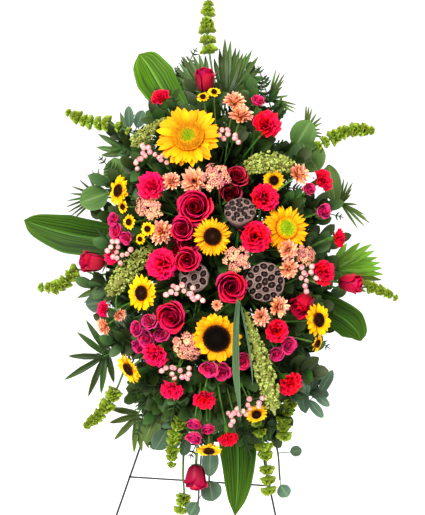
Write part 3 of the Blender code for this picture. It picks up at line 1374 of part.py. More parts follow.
def make_rear_leg():
    """A straight wire whose top is bent into an eye round the pivot bar. Its origin is on the pivot."""
    pivot = pivot_point()
    spread = math.sqrt(REAR_LEG_LENGTH**2 - pivot.z**2)
    foot = Vector((pivot.x, pivot.y + spread, 0))
    eye = BAR_RADIUS + EYE_CLEARANCE + WIRE_RADIUS
    down = (foot - pivot).normalized()
    back = Vector((0, -down.z, down.y))
    start = pivot + back * eye
    loop = []
    for k in range(8):
        angle = math.radians(35 * k)
        loop.append(pivot + (back * math.cos(angle) - down * math.sin(angle)) * eye)
    foot_end = foot + back * eye
    foot_end = start + (foot_end - start) * (start.z / (start.z - foot_end.z))
    points, faces = tube([foot_end, *loop], WIRE_RADIUS, WIRE_SIDES)
    for k in range(WIRE_SIDES):
        along = points[k] - points[WIRE_SIDES + k]
        points[k] = points[k] - along * (points[k].z / along.z)
    local = [p - pivot for p in points]
    leg = node("easel_rear_leg", [(local, faces)], "wire_black", smooth=True)
    leg.location = pivot


def make_tray():
    """The back plate with a lip round the foam and a handle whose hole hangs on the hook."""
    half = FOAM_HALF_WIDTH + GAP + TRAY_WALL
    inner = FOAM_HALF_WIDTH + GAP
    low, high = FOAM_BOTTOM - GAP - TRAY_WALL, FOAM_TOP + GAP + TRAY_WALL
    front = TRAY_OUT + TRAY_THICKNESS
    top = front + TRAY_LIP
    plate = box((-half, low, TRAY_OUT), (half, high, top))
    handle_top = EASEL_TOP + 0.018
    handle = box((-0.022, high - 0.004, TRAY_OUT + 0.0004), (0.022, handle_top, TRAY_OUT + 0.0064))
    tray = node("holder_tray", [plate, handle], "holder_green")
    pocket = box((-inner, low + TRAY_WALL, front), (inner, high - TRAY_WALL, top + 0.01))
    hole_up = EASEL_TOP + WIRE_RADIUS + GAP - HANDLE_HOLE_RADIUS
    hole = placed(loft([circle(HANDLE_HOLE_RADIUS, 12, z, math.pi / 12) for z in (-0.02, 0.02)]),
                  at(frame_point(0, hole_up, TRAY_OUT), FRAME_OUT))
    combine(tray, [pocket, hole], "DIFFERENCE")


def make_foam(holes):
    """The foam block, with a plain hole for each stem."""
    foam = node("foam_block", [box((-FOAM_HALF_WIDTH, FOAM_BOTTOM, FOAM_BACK),
                                   (FOAM_HALF_WIDTH, FOAM_TOP, FOAM_FRONT))], "foam_green")
    combine(foam, holes, "DIFFERENCE")


def cage_bars():
    """Corners of the cage's bars: a rail on the front, bands over the foam, their legs, and edge rails."""
    near = FOAM_HALF_WIDTH + GAP
    far = near + CAGE_BAR
    front = FOAM_FRONT + GAP
    back = TRAY_OUT + TRAY_THICKNESS + TRAY_LIP + GAP
    bands = [FOAM_BOTTOM + 0.03 + CAGE_PITCH * k for k in range(5)]
    bars = [((0.0135, bands[0], front), (0.0165, bands[-1], front + CAGE_BAR - 0.0003))]
    for up in bands:
        bars.append(((-far + 0.0003, up - 0.002, front), (far - 0.0003, up + 0.002, front + CAGE_BAR)))
        for a, b in ((-far, -near), (near, far)):
            bars.append(((a, up - 0.0025, back + 0.001), (b, up + 0.0025, front + CAGE_BAR / 2)))
    for a, b in ((-far - 0.0005, -near - 0.0002), (near + 0.0002, far + 0.0005)):
        bars.append(((a, bands[0] - 0.006, back), (b, bands[-1] + 0.006, back + 0.005)))
    return bars


def make_cage():
    """The cage is clipped over the foam, in front of the tray's lip."""
    node("holder_cage", [box(low, high) for low, high in cage_bars()], "holder_green")


def mark_holder(layout):
    """Marks the room of the foam, its tray and its cage."""
    margin = 0.0008
    foam = box((-FOAM_HALF_WIDTH, FOAM_BOTTOM, FOAM_BACK), (FOAM_HALF_WIDTH, FOAM_TOP, FOAM_FRONT))
    layout.add("foam_block", 0, foam)
    half = FOAM_HALF_WIDTH + GAP + TRAY_WALL + margin
    layout.add("holder_tray", 0, box((-half, FOAM_BOTTOM - 0.005, 0),
                                     (half, FOAM_TOP + 0.005, TRAY_OUT + TRAY_THICKNESS + TRAY_LIP + margin)))
    for low, high in cage_bars():
        layout.add("holder_cage", 0, box([c - margin for c in low], [c + margin for c in high]))


def main():
    clear_scene()
    layout = Layout()
    mark_holder(layout)
    mark_foliage(layout)
    heads = place_heads(layout)
    clusters = place_berries(layout)
    make_aspidistras(layout)
    make_fans(layout)
    make_blooms(layout, heads)
    make_berries(layout, clusters)
    make_amaranths(layout)
    make_grass(layout)
    make_eucalyptus(layout)
    make_bells(layout)
    make_ferns(layout)
    make_foam(layout.holes)
    make_cage()
    make_tray()
    make_front_frame()
    make_rear_leg()


main()
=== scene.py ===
"""The looks of a standing funeral spray: every bloom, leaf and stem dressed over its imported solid."""

import json
import math
from collections import namedtuple

import bpy
import numpy as np
from mathutils import Matrix

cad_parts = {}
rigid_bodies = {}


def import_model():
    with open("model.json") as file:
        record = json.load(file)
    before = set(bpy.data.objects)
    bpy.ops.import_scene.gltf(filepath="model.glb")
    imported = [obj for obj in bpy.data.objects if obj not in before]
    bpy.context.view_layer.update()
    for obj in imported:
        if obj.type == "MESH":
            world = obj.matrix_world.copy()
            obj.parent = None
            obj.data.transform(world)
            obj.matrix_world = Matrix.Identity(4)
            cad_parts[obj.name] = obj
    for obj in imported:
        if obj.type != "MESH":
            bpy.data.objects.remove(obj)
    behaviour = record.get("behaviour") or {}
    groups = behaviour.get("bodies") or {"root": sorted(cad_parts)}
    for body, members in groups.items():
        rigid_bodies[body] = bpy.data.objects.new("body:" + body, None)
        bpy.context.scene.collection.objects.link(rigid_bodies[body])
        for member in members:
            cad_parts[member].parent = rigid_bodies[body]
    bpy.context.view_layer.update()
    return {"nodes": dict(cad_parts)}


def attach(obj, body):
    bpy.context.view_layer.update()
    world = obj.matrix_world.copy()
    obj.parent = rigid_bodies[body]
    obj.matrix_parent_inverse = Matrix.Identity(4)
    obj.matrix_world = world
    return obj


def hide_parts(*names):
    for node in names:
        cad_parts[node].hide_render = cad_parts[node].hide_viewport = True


for start_object in list(bpy.data.objects):
    bpy.data.objects.remove(start_object)
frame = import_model()

# Easel: round steel wire, measured along its front frame, which leans back.
LEAN = math.radians(12)
EASEL_TOP = 1.52
FOOT_HALF_SPREAD = 0.378
LEGS_MEET = 1.364
NECK_HALF_WIDTH = 0.02
LOWER_BAR = 0.838
PIVOT_BAR = 1.06
WIRE_RADIUS = 0.002
BAR_RADIUS = 0.00175
PIVOT_BAR_OUT = -0.0025
REAR_LEG_LENGTH = 1.08
EYE_CLEARANCE = 0.0005
FLOOR_CENTRE = (-0.009, 0.2408)

# The foam block behind the flowers, measured in the same way.
FOAM_HALF_WIDTH = 0.06
FOAM_BOTTOM, FOAM_TOP = 1.084, 1.484
FOAM_FRONT = 0.100

# Roots: thick stem ends that stand in slots of the foam, in two rows on its edges and three on its face.
SLOT_PITCH = 0.04
SLOT_COLUMNS = (-0.03, 0.0, 0.03)
ROW_BACK, ROW_FRONT = 0.034, 0.074
SIDE_SLOTS, SIDE_START = 10, 0.02
FACE_SLOTS, FACE_START = 9, 0.04
PEG_RADIUS = 0.0034
PEG_DEPTH = 0.024
PEG_RISE = 0.022

# The photograph's sight lines, which place each bloom and leaf.
PICTURE_WIDTH, PICTURE_HEIGHT = 425, 515
PIXEL = 0.00195
VIEW_DISTANCE = 2.4
VIEW_PITCH = math.radians(8)
VIEW_ROLL = math.radians(3.67)
VIEW_TARGET = (-0.003, 1.293, 0.2)
SPRAY_CENTRE = (213, 262)
SPRAY_HALF_SIZE = (135, 215)
DOME_EDGE, DOME_RISE = 0.125, 0.150

X_AXIS, Y_AXIS, Z_AXIS = np.eye(3)
FEET = np.array([-FLOOR_CENTRE[0], -FLOOR_CENTRE[1], 0])
FRAME_UP = np.array([0, math.sin(LEAN), math.cos(LEAN)])
FRAME_OUT = np.array([0, -math.cos(LEAN), math.sin(LEAN)])

Bloom = namedtuple("Bloom", "u v size back right up")
Group = namedtuple("Group", "kind colour blooms")
Stem = namedtuple("Stem", "path parts")
Fan = namedtuple("Fan", "hub out tips width")


def group(kind, colour, blooms):
    """The blooms of one node, from rows of numbers."""
    return Group(kind, colour, [Bloom(*bloom) for bloom in blooms])


def frame_point(x, up, out):
    """A place on the easel's leaning front plane: sideways, up along it, and out in front of it."""
    return FEET + x * X_AXIS + up * FRAME_UP + out * FRAME_OUT


LOOK = np.array([0, math.cos(VIEW_PITCH), -math.sin(VIEW_PITCH)])
LEVEL_TOP = np.array([0, math.sin(VIEW_PITCH), math.cos(VIEW_PITCH)])
VIEW_RIGHT = X_AXIS * math.cos(VIEW_ROLL) + LEVEL_TOP * math.sin(VIEW_ROLL)
VIEW_TOP = LEVEL_TOP * math.cos(VIEW_ROLL) - X_AXIS * math.sin(VIEW_ROLL)
EYE = frame_point(*VIEW_TARGET) - VIEW_DISTANCE * LOOK
FOCAL = VIEW_DISTANCE / PIXEL


def seen(u, v, out):
    """The place that the photograph shows at pixel u, v, as far as out in front of the easel."""
    across = (u - PICTURE_WIDTH / 2) / FOCAL
    above = (PICTURE_HEIGHT / 2 - v) / FOCAL
    ray = VIEW_RIGHT * across + VIEW_TOP * above + LOOK
    return EYE + ray * ((out - (EYE - FEET).dot(FRAME_OUT)) / ray.dot(FRAME_OUT))


def unit(v):
    """A vector, or each of many, made one long."""
    return v / np.linalg.norm(v, axis=-1, keepdims=True)


def facing(right, up):
    """The direction that leans right and up from the viewer by these slopes."""
    return unit(VIEW_RIGHT * right + VIEW_TOP * up - LOOK)


def dome(u, v):
    """How far out the flowers' domed front stands at a pixel."""
    across = (u - SPRAY_CENTRE[0]) / SPRAY_HALF_SIZE[0]
    down = (v - SPRAY_CENTRE[1]) / SPRAY_HALF_SIZE[1]
    return DOME_EDGE + DOME_RISE * math.sqrt(max(0.0, 1 - across**2 - down**2))


# Blooms: picture place, diameter in mm, set back behind the dome in mm, and lean to the right and up.
BLOOMS = {
    "sunflower_top": group("sunflower", "yellow", [(189, 138, 130, 0, -0.1, 0.3)]),
    "sunflower_right": group("sunflower", "yellow", [(285, 229, 98, 22, 0.3, 0.15)]),
    "sunflower_centre": group("sunflower", "yellow", [(212, 237, 78, 14, 0.1, 0.1)]),
    "sunflower_lower": group("sunflower", "yellow", [(217, 337, 98, 12, -0.1, -0.2)]),
    "sunflowers_small_left": group("small_sunflower", "yellow", [
        (120, 191, 58, 0, -1.3, 0.3), (143, 293, 68, 0, -0.8, 0.0), (130, 368, 60, 0, -1.3, -0.8)]),
    "sunflowers_small_right": group("small_sunflower", "yellow", [
        (317, 320, 64, 0, 0.9, 0.1), (316, 343, 36, 6, 1.4, -0.4), (273, 180, 44, 34, 0.3, -0.2),
        (256, 413, 44, 30, 0.2, -0.6), (209, 449, 50, 0, 0.0, -1.5)]),
    "mini_sunflowers": group("mini_sunflower", "yellow", [
        (124, 207, 26, 0, -0.9, 0.0), (130, 222, 30, 0, -0.7, 0.0), (148, 229, 28, 6, -0.3, 0.0),
        (141, 239, 22, 10, -0.6, 0.0), (203, 98, 26, 0, -0.2, 0.8), (214, 93, 26, 0, 0.0, 0.8)]),
    "rose_top": group("rose_bud", "red", [(205, 80, 43, 20, 0.0, 2.4)]),
    "rose_left": group("rose_bud", "red", [(92, 262, 44, 0, -2.4, 0.2)]),
    "rose_bottom": group("rose_bud", "red", [(196, 478, 44, 0, 0.0, -3.0)]),
    "roses_centre": group("rose", "crimson", [
        (195, 207, 66, 0, -0.1, 0.1), (182, 229, 48, 6, -0.3, 0.1), (189, 242, 46, 0, -0.1, 0.0),
        (187, 260, 46, 0, -0.1, -0.1), (174, 250, 38, 26, -0.4, 0.0)]),
    "roses_upper": group("rose", "dark_red", [(237, 176, 44, 26, 0.2, 0.4), (231, 193, 46, 36, 0.1, 0.2)]),
    "roses_lower": group("rose", "crimson", [(232, 287, 58, 0, 0.1, 0.0), (171, 317, 58, 4, -0.3, -0.2)]),
    "roses_right": group("rose_bud", "crimson", [
        (351, 283, 42, 0, 2.2, -0.2), (303, 304, 46, 4, -0.7, -0.7)]),
    "spray_roses_left": group("spray_rose", "pink", [
        (113, 219, 26, 0, -0.8, 0.4), (115, 231, 30, 0, -0.9, 0.0), (126, 238, 26, 2, -0.4, -0.3),
        (149, 321, 31, 0, -0.4, 0.1), (136, 329, 30, 0, -0.9, 0.1), (146, 339, 34, 4, -0.5, -0.2),
        (161, 334, 30, 6, -0.1, -0.2), (138, 347, 28, 6, -0.8, -0.4)]),
    "spray_roses_right": group("spray_rose", "pink", [
        (289, 345, 33, 0, 0.5, -0.2), (277, 354, 30, 6, 0.2, -0.4), (310, 189, 26, 14, 0.5, 0.3),
        (324, 211, 30, 0, 0.6, 0.2), (258, 100, 26, 0, 0.3, 0.8)]),
    "spray_roses_bottom": group("spray_rose", "pink", [
        (194, 425, 28, 6, -0.2, -1.4), (208, 430, 26, 10, 0.2, -1.3), (194, 439, 32, 0, -0.4, -1.3),
        (209, 369, 36, 10, -0.2, -0.5), (222, 372, 38, 6, 0.0, -0.6), (243, 361, 36, 22, 0.3, -0.4)]),
    "carnations_upper": group("carnation", "scarlet", [
        (267, 124, 55, 0, 0.3, 0.5), (265, 197, 52, 6, 0.2, 0.2), (256, 237, 56, 0, 0.2, 0.0),
        (160, 97, 38, 0, -0.9, 1.3)]),
    "carnations_left": group("carnation", "coral", [
        (151, 186, 54, 0, -0.5, 0.3), (162, 264, 58, 0, -0.4, 0.0), (112, 256, 34, 16, -0.9, 0.0),
        (103, 309, 30, 4, -1.6, 0.2), (155, 355, 48, 0, -0.4, -0.6), (172, 390, 44, 0, -0.2, -1.1)]),
    "carnations_right": group("carnation", "scarlet", [
        (323, 180, 44, 6, 1.1, 0.4), (339, 238, 36, 0, 2.2, 0.2), (324, 273, 48, 0, 0.8, 0.0),
        (277, 331, 44, 4, 0.2, -0.1), (290, 384, 48, 0, 0.6, -0.6), (204, 400, 42, 0, -0.1, -0.9),
        (228, 439, 40, 0, 0.3, -1.8)]),
    "poms_left": group("pom", "peach", [
        (234, 101, 42, 0, 0.1, 0.9), (241, 115, 46, 4, 0.2, 0.8), (171, 181, 36, 0, -0.2, 0.3),
        (194, 181, 50, 4, -0.1, 0.1), (161, 232, 48, 2, -0.3, 0.1), (104, 326, 34, 0, -1.2, -0.5),
        (120, 315, 26, 4, 0.9, -0.7)]),
    "poms_right": group("pom", "peach", [
        (299, 174, 42, 0, 0.7, 0.5), (288, 250, 38, 0, 0.3, -0.1), (289, 269, 36, 4, 0.3, -0.2),
        (279, 307, 40, 0, 0.6, 0.0), (261, 317, 34, 0, 0.1, -0.1), (217, 305, 20, 8, 0.0, 0.0)]),
    "yarrow_heads": group("yarrow", "apricot", [
        (148, 206, 56, 2, -0.4, 0.2), (217, 176, 52, 4, 0.0, 0.3), (237, 259, 48, 6, 0.1, 0.0),
        (306, 256, 42, 8, 0.5, 0.0), (188, 347, 58, 4, -0.1, -0.3)]),
    "lotus_pods": group("lotus", "pod_brown", [
        (240, 211, 62, 10, 0.0, 0.75), (265, 282, 78, 4, 0.1, 0.0), (194, 277, 60, 14, -0.1, 0.0)]),
}

# Berries: picture places of each cluster's berries, with how far the cluster is set back in mm.
BERRY_SIZE = 0.0115
BERRIES = {
    "hypericum_upper": [
        (0, [(144, 148), (150, 152), (141, 159), (136, 163)]),
        (0, [(161, 160), (167, 156)]),
        (0, [(222, 130), (228, 134), (235, 138)]),
        (0, [(111, 247), (118, 247), (127, 254), (117, 258)]),
    ],
    "hypericum_lower": [
        (-14, [(171, 292), (177, 288), (184, 291), (191, 294), (198, 297)]),
        (-4, [(304, 273), (311, 272), (316, 278), (305, 286)]),
        (0, [(166, 368), (172, 374), (182, 377), (189, 374)]),
        (0, [(243, 411), (248, 405), (259, 403)]),
        (0, [(234, 413), (233, 421)]),
    ],
}

# Broad single leaves: points along the midrib with their width in mm.
ASPIDISTRAS = {
    "aspidistra_leaf_top": [(187, 132, 0.085, 30), (176, 112, 0.078, 62), (160, 86, 0.068, 84),
                            (148, 66, 0.060, 58), (139, 54, 0.056, 0)],
    "aspidistra_leaf_left": [(132, 243, 0.075, 40), (106, 240, 0.072, 70), (72, 235, 0.068, 80),
                             (42, 227, 0.060, 46), (24, 220, 0.052, 0)],
    "aspidistra_leaf_right": [(312, 296, 0.075, 30), (328, 309, 0.078, 62), (346, 320, 0.070, 64),
                              (357, 331, 0.056, 34), (361, 341, 0.045, 0)],
    "aspidistra_leaf_bottom": [(231, 384, 0.075, 30), (234, 412, 0.085, 62), (238, 450, 0.085, 76),
                               (238, 484, 0.075, 54), (235, 516, 0.060, 0)],
}

# Lobed and pinnate fans: a hub, how far out it lies, the tips of its fingers and their width in mm.
FANS = {
    "xanadu_leaf_top": [
        Fan((208, 98), 0.060, [(175, 67), (181, 56), (193, 55), (205, 55), (168, 80)], 15),
        Fan((226, 100), 0.052, [(214, 58), (225, 38), (236, 47), (243, 53), (252, 50), (262, 66)], 16),
    ],
    "xanadu_leaf_left": [
        Fan((129, 152), 0.060, [(106, 117), (98, 134), (96, 147), (101, 155), (120, 112), (112, 170)], 13),
        Fan((112, 284), 0.055, [(77, 298), (84, 303), (86, 288), (92, 306)], 13),
    ],
    "xanadu_leaf_right": [
        Fan((333, 270), 0.060, [(347, 243), (372, 244), (378, 257), (383, 268), (382, 280), (366, 292)], 19),
    ],
    "palm_fronds_right": [
        Fan((262, 103), 0.036, [(276, 69), (285, 73), (283, 86), (297, 105), (296, 113)], 9),
        Fan((300, 137), 0.036, [(306, 104), (312, 108), (322, 117), (321, 129), (324, 138)], 9),
        Fan((334, 204), 0.038, [(344, 178), (353, 182), (351, 194), (365, 215), (371, 224), (358, 229)], 9),
    ],
    "palm_frond_left": [
        Fan((106, 197), 0.038, [(71, 186), (87, 173), (98, 167), (66, 201), (67, 213), (72, 221)], 8),
    ],
    "palm_fronds_lower_left": [
        Fan((113, 352), 0.040, [(86, 320), (77, 332), (68, 356), (64, 380), (88, 397), (101, 394),
                                (114, 383)], 14),
        Fan((141, 408), 0.044, [(108, 408), (109, 423), (114, 440), (134, 453), (142, 452), (149, 449)], 14),
    ],
}

# Leafy stems: the stem's picture path with its distance out, then leaves as picture middle, length and
# width in mm, and the way the tip points, in degrees from right, turning up.
EUCALYPTUS = {
    "eucalyptus_left": [
        Stem([(150, 200, 0.080), (124, 190, 0.082), (102, 190, 0.080)],
             [(117, 174, 56, 42, 100), (94, 198, 50, 38, 200), (128, 168, 36, 26, 80)]),
        Stem([(148, 150, 0.078), (134, 132, 0.074)],
             [(129, 117, 46, 18, 92), (140, 119, 38, 22, 70)]),
        Stem([(140, 300, 0.080), (112, 304, 0.082)],
             [(96, 303, 42, 36, 190), (125, 318, 44, 40, 260), (120, 300, 36, 36, 120)]),
    ],
    "eucalyptus_right": [
        Stem([(280, 160, 0.086), (300, 150, 0.088), (322, 172, 0.084)],
             [(303, 134, 52, 40, 60), (310, 157, 56, 48, 300), (332, 184, 66, 28, 280),
              (292, 203, 34, 28, 270)]),
        Stem([(285, 350, 0.080), (306, 372, 0.082), (322, 392, 0.080)],
             [(286, 365, 38, 34, 210), (303, 374, 64, 22, 262), (314, 378, 60, 22, 255),
              (326, 382, 56, 20, 60), (322, 400, 40, 16, 320), (316, 409, 46, 18, 310)]),
    ],
    "eucalyptus_bottom": [
        Stem([(178, 395, 0.084), (164, 412, 0.086), (156, 430, 0.082)],
             [(150, 428, 50, 32, 250), (167, 421, 36, 28, 10), (161, 440, 46, 36, 240)]),
        Stem([(208, 410, 0.080), (210, 450, 0.080), (209, 482, 0.076)],
             [(210, 462, 60, 32, 268), (211, 491, 42, 40, 280), (193, 509, 30, 28, 240),
              (185, 447, 38, 22, 260)]),
        Stem([(258, 412, 0.080), (276, 445, 0.080), (280, 480, 0.076)],
             [(284, 491, 28, 26, 300), (296, 451, 24, 20, 10), (270, 428, 40, 20, 250)]),
    ],
}

# Stems of green bells: the picture path, then each whorl's place along it and its size in mm.
BELLS = {
    "bells_top": [Stem([(212, 70, 0.095), (209, 50, 0.092), (207, 29, 0.088), (209, 3, 0.084)],
                       [(209, 51, 30), (207, 30, 30), (208, 14, 27), (210, 4, 20)])],
    "bells_left": [
        Stem([(142, 138, 0.100), (126, 130, 0.100), (108, 124, 0.100), (91, 123, 0.098), (69, 113, 0.094)],
             [(129, 133, 16), (108, 124, 30), (91, 124, 26), (77, 120, 24), (69, 113, 15)]),
        Stem([(96, 275, 0.085), (78, 270, 0.095), (60, 286, 0.095), (42, 287, 0.090)],
             [(76, 270, 30), (66, 280, 28), (56, 288, 24), (42, 287, 18)]),
        Stem([(122, 376, 0.105), (116, 390, 0.105), (102, 412, 0.100), (86, 426, 0.095)],
             [(116, 390, 28), (109, 404, 28), (101, 415, 24), (94, 421, 20), (86, 426, 16)]),
    ],
    "bells_right": [
        Stem([(308, 152, 0.104), (330, 139, 0.104), (350, 130, 0.102), (374, 131, 0.098)],
             [(319, 147, 20), (331, 138, 28), (342, 133, 26), (352, 129, 26), (362, 129, 24),
              (371, 131, 18)]),
        Stem([(352, 290, 0.090), (368, 287, 0.090), (384, 292, 0.088), (398, 299, 0.084)],
             [(368, 288, 24), (378, 290, 20), (387, 293, 17), (396, 298, 14)]),
    ],
    "bells_bottom_left": [
        Stem([(186, 400, 0.118), (181, 418, 0.118), (174, 436, 0.114), (171, 468, 0.108)],
             [(181, 418, 27), (175, 433, 27), (173, 449, 25), (171, 463, 17)]),
        Stem([(183, 478, 0.076), (184, 495, 0.078), (180, 512, 0.076)],
             [(184, 495, 28), (181, 509, 24)]),
    ],
    "bells_bottom_right": [
        Stem([(253, 400, 0.112), (256, 420, 0.112), (264, 445, 0.108), (269, 492, 0.100)],
             [(256, 421, 25), (264, 445, 30), (268, 469, 30), (269, 488, 27)]),
        Stem([(290, 388, 0.086), (290, 404, 0.096), (284, 420, 0.098), (284, 436, 0.096)],
             [(290, 403, 28), (285, 419, 26), (284, 434, 28)]),
    ],
}

# Drooping amaranth tassels: picture place, distance out and radius in mm along each.
AMARANTHS = {
    "amaranth_upper_left": [(167, 119, 0.172, 6), (154, 127, 0.168, 10), (143, 137, 0.160, 15),
                            (134, 144, 0.150, 12)],
    "amaranth_upper_right": [(246, 169, 0.225, 12), (257, 164, 0.225, 18), (275, 162, 0.215, 20),
                             (292, 167, 0.200, 12)],
    "amaranth_left": [(152, 247, 0.205, 8), (138, 260, 0.205, 18), (124, 275, 0.195, 22),
                      (110, 293, 0.180, 12)],
    "amaranth_bottom": [(245, 312, 0.262, 6), (252, 332, 0.262, 10), (260, 358, 0.250, 17),
                        (268, 384, 0.230, 21), (274, 411, 0.208, 10)],
}

# Ribbon grass: picture place, distance out and width in mm along its blade, and along a thinner strand.
GRASS = {
    "lily_grass": [
        [(238, 301, 0.280, 9), (236, 330, 0.292, 14), (236, 372, 0.280, 16), (239, 402, 0.245, 8),
         (241, 422, 0.225, 0)],
        [(240, 303, 0.276, 4), (246, 330, 0.285, 5), (251, 362, 0.274, 5), (253, 388, 0.262, 0)],
    ],
}

# Leatherleaf fern that backs the blooms: where each frond starts and ends, how far out, half width in mm.
FERNS = {
    "leatherleaf_left": [((170, 190), (128, 108), 0.022, 42), ((165, 225), (102, 172), 0.022, 42),
                         ((165, 262), (92, 262), 0.022, 42), ((165, 310), (104, 344), 0.022, 42),
                         ((182, 380), (146, 432), 0.030, 42), ((178, 172), (142, 158), 0.118, 38),
                         ((172, 240), (124, 282), 0.118, 38), ((180, 330), (152, 388), 0.118, 40)],
    "leatherleaf_right": [((250, 170), (262, 84), 0.022, 42), ((262, 205), (316, 120), 0.022, 42),
                          ((265, 255), (342, 232), 0.022, 42), ((265, 300), (334, 352), 0.022, 42),
                          ((245, 380), (290, 436), 0.022, 42), ((242, 178), (226, 118), 0.118, 38),
                          ((262, 215), (306, 212), 0.118, 38), ((262, 305), (312, 300), 0.118, 38),
                          ((245, 345), (268, 404), 0.118, 40)],
}

# Filling fronds in the depths between the blooms, spread evenly: how many, from how far across the spray to
# how far, how far behind the dome and half width in mm.
FERN_FILL = [(46, 0, 0.98, 100, 40), (30, 0, 0.84, 66, 36), (16, 0.82, 1.0, 62, 38), (8, 0, 0.58, 44, 30)]
FILL_LENGTH = 0.135
FILL_STALK = 0.0014
# How far a filling frond may turn aside, and how far behind its start its stalk leaves an older one.
FILL_FAN = 0.5
FILL_BEHIND = 0.030

# Turns from one floret of a disc to the next, from petal to petal of a rose, and round five or six sepals.
GOLDEN_TURN = 2.39996
PETAL_TURN = 2.4
FIFTH_TURN = 1.2566
SIXTH_TURN = 1.047
# The solids of blooms and berries were set back clear of each other in steps: how long one is, and how many.
SET_BACK = 0.003
SET_BACK_STEPS = 16
# The place of the stem's look in a piece's list of looks.
STEM = 1


def random_for(name):
    """The same random numbers for a name in every run."""
    return np.random.default_rng([ord(letter) for letter in name])


def basis(axis, hint=X_AXIS):
    """A turn whose columns are X near hint, Y, and Z along axis."""
    z = unit(np.asarray(axis, float))
    x = hint - z * hint.dot(z)
    if np.linalg.norm(x) < 0.1:
        hint = Y_AXIS if abs(z[1]) < 0.9 else Z_AXIS
        x = hint - z * hint.dot(z)
    x = unit(x)
    return np.stack([x, np.cross(z, x), z], axis=1)


def put(points, place, turn, size=1.0):
    """Points scaled, turned and carried to a place."""
    return (points * size) @ turn.T + place


def scatter(points, places, turns, sizes):
    """A copy of a small shape's points at each place, turned and scaled there."""
    flat = points.reshape(-1, 3)
    copies = np.einsum("nij,pj->npi", turns, flat) * np.reshape(sizes, (-1, 1, 1)) + places[:, None, :]
    return copies.reshape(len(places), *points.shape)


def turns_along(axes, spins):
    """For each axis, a turn with Z along it, spun round it."""
    turns = []
    for axis, spin in zip(axes, spins):
        turn = basis(axis)
        c, s = math.cos(spin), math.sin(spin)
        turns.append(turn @ np.array([[c, -s, 0], [s, c, 0], [0, 0, 1]]))
    return np.array(turns)


class Piece:
    """Grids of points gathered into one mesh. Each point carries a mark: along, across and tone."""

    def __init__(self, name, nodes, slot, looks, body="front"):
        self.name, self.nodes, self.slot, self.body = name, nodes, slot, body
        self.looks = looks
        self.points, self.marks, self.faces, self.face_looks = [], [], [], []
        self.count = 0
        self.random = random_for(name)

    def grid(self, points, marks=None, look=0, wrap=False):
        """Adds grids of rows and columns of points. With wrap, the last column joins the first."""
        rows, cols = points.shape[-3:-1]
        many = points.reshape(-1, rows, cols, 3)
        if marks is None:
            marks = (np.linspace(0, 1, rows)[:, None], np.linspace(-1, 1, cols), 0.5)
        marks = [np.broadcast_to(mark, points.shape[:-1]) for mark in marks]
        index = np.arange(rows * cols).reshape(rows, cols)
        if wrap:
            index = np.hstack([index, index[:, :1]])
        quads = np.stack([index[:-1, :-1], index[:-1, 1:], index[1:, 1:], index[1:, :-1]], -1).reshape(-1, 4)
        shifts = self.count + np.arange(len(many)) * rows * cols
        self.faces.append((quads[None] + shifts[:, None, None]).reshape(-1, 4))
        self.face_looks.append(np.full(len(quads) * len(many), look))
        self.points.append(many.reshape(-1, 3))
        self.marks.append(np.stack(marks, -1).reshape(-1, 3))
        self.count += len(many) * rows * cols

    def sheet(self, points, tone, look=0):
        """Adds leaves or petals, marked from base to tip and from side to side."""
        rows, cols = points.shape[-3:-1]
        self.grid(points, (np.linspace(0, 1, rows)[:, None], np.linspace(-1, 1, cols), tone), look)

    def tones(self, count):
        """A tone for each of many copies."""
        return self.random.random((count, 1, 1))

    def finish(self):
        """Makes the mesh, with its marks and looks, fixes it to its body and hides the solids that it stands
        for.
        """
        points, faces = np.concatenate(self.points), np.concatenate(self.faces)
        mesh = bpy.data.meshes.new(self.name)
        mesh.vertices.add(len(points))
        mesh.vertices.foreach_set("co", points.astype(np.float32).ravel())
        mesh.loops.add(len(faces) * 4)
        mesh.loops.foreach_set("vertex_index", faces.astype(np.int32).ravel())
        mesh.polygons.add(len(faces))
        mesh.polygons.foreach_set("loop_start", np.arange(0, len(faces) * 4, 4, dtype=np.int32))
        mesh.polygons.foreach_set("material_index", np.concatenate(self.face_looks).astype(np.int32))
        mesh.update(calc_edges=True)
        mesh.shade_smooth()
        mark = mesh.attributes.new("mark", "FLOAT_VECTOR", "POINT")
        mark.data.foreach_set("vector", np.concatenate(self.marks).astype(np.float32).ravel())
        for look in self.looks:
            mesh.materials.append(look)
        obj = bpy.data.objects.new(self.name, mesh)
        bpy.context.scene.collection.objects.link(obj)
        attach(obj, self.body)
        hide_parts(*self.nodes)


def bezier(control, t):
    """Points on Bezier curves at t. control is one curve's points, or one curve for each petal."""
    control = np.asarray(control, float)
    order = control.shape[-2] - 1
    weights = np.array([math.comb(order, k) * t**k * (1 - t)**(order - k) for k in range(order + 1)])
    return np.einsum("kt,...kd->...td", weights, control)


def curve(control, count):
    """A Bezier curve of so many points."""
    return bezier(control, np.linspace(0, 1, count))


def outline(stops, t):
    """A smooth run through (t, share) stops."""
    x, y = np.array(stops).T
    fine = np.interp(np.linspace(0, 1, 65), x, y)
    for _ in range(3):
        fine[1:-1] = (fine[:-2] + 2 * fine[1:-1] + fine[2:]) / 4
    return np.interp(t, np.linspace(0, 1, 65), fine)


def ring(count):
    """Angles spread evenly round a circle."""
    return np.arange(count) * 2 * math.pi / count


def polar(radius, angle, height):
    """Points round the Z axis."""
    return np.stack(np.broadcast_arrays(radius * np.cos(angle), radius * np.sin(angle), height), -1)


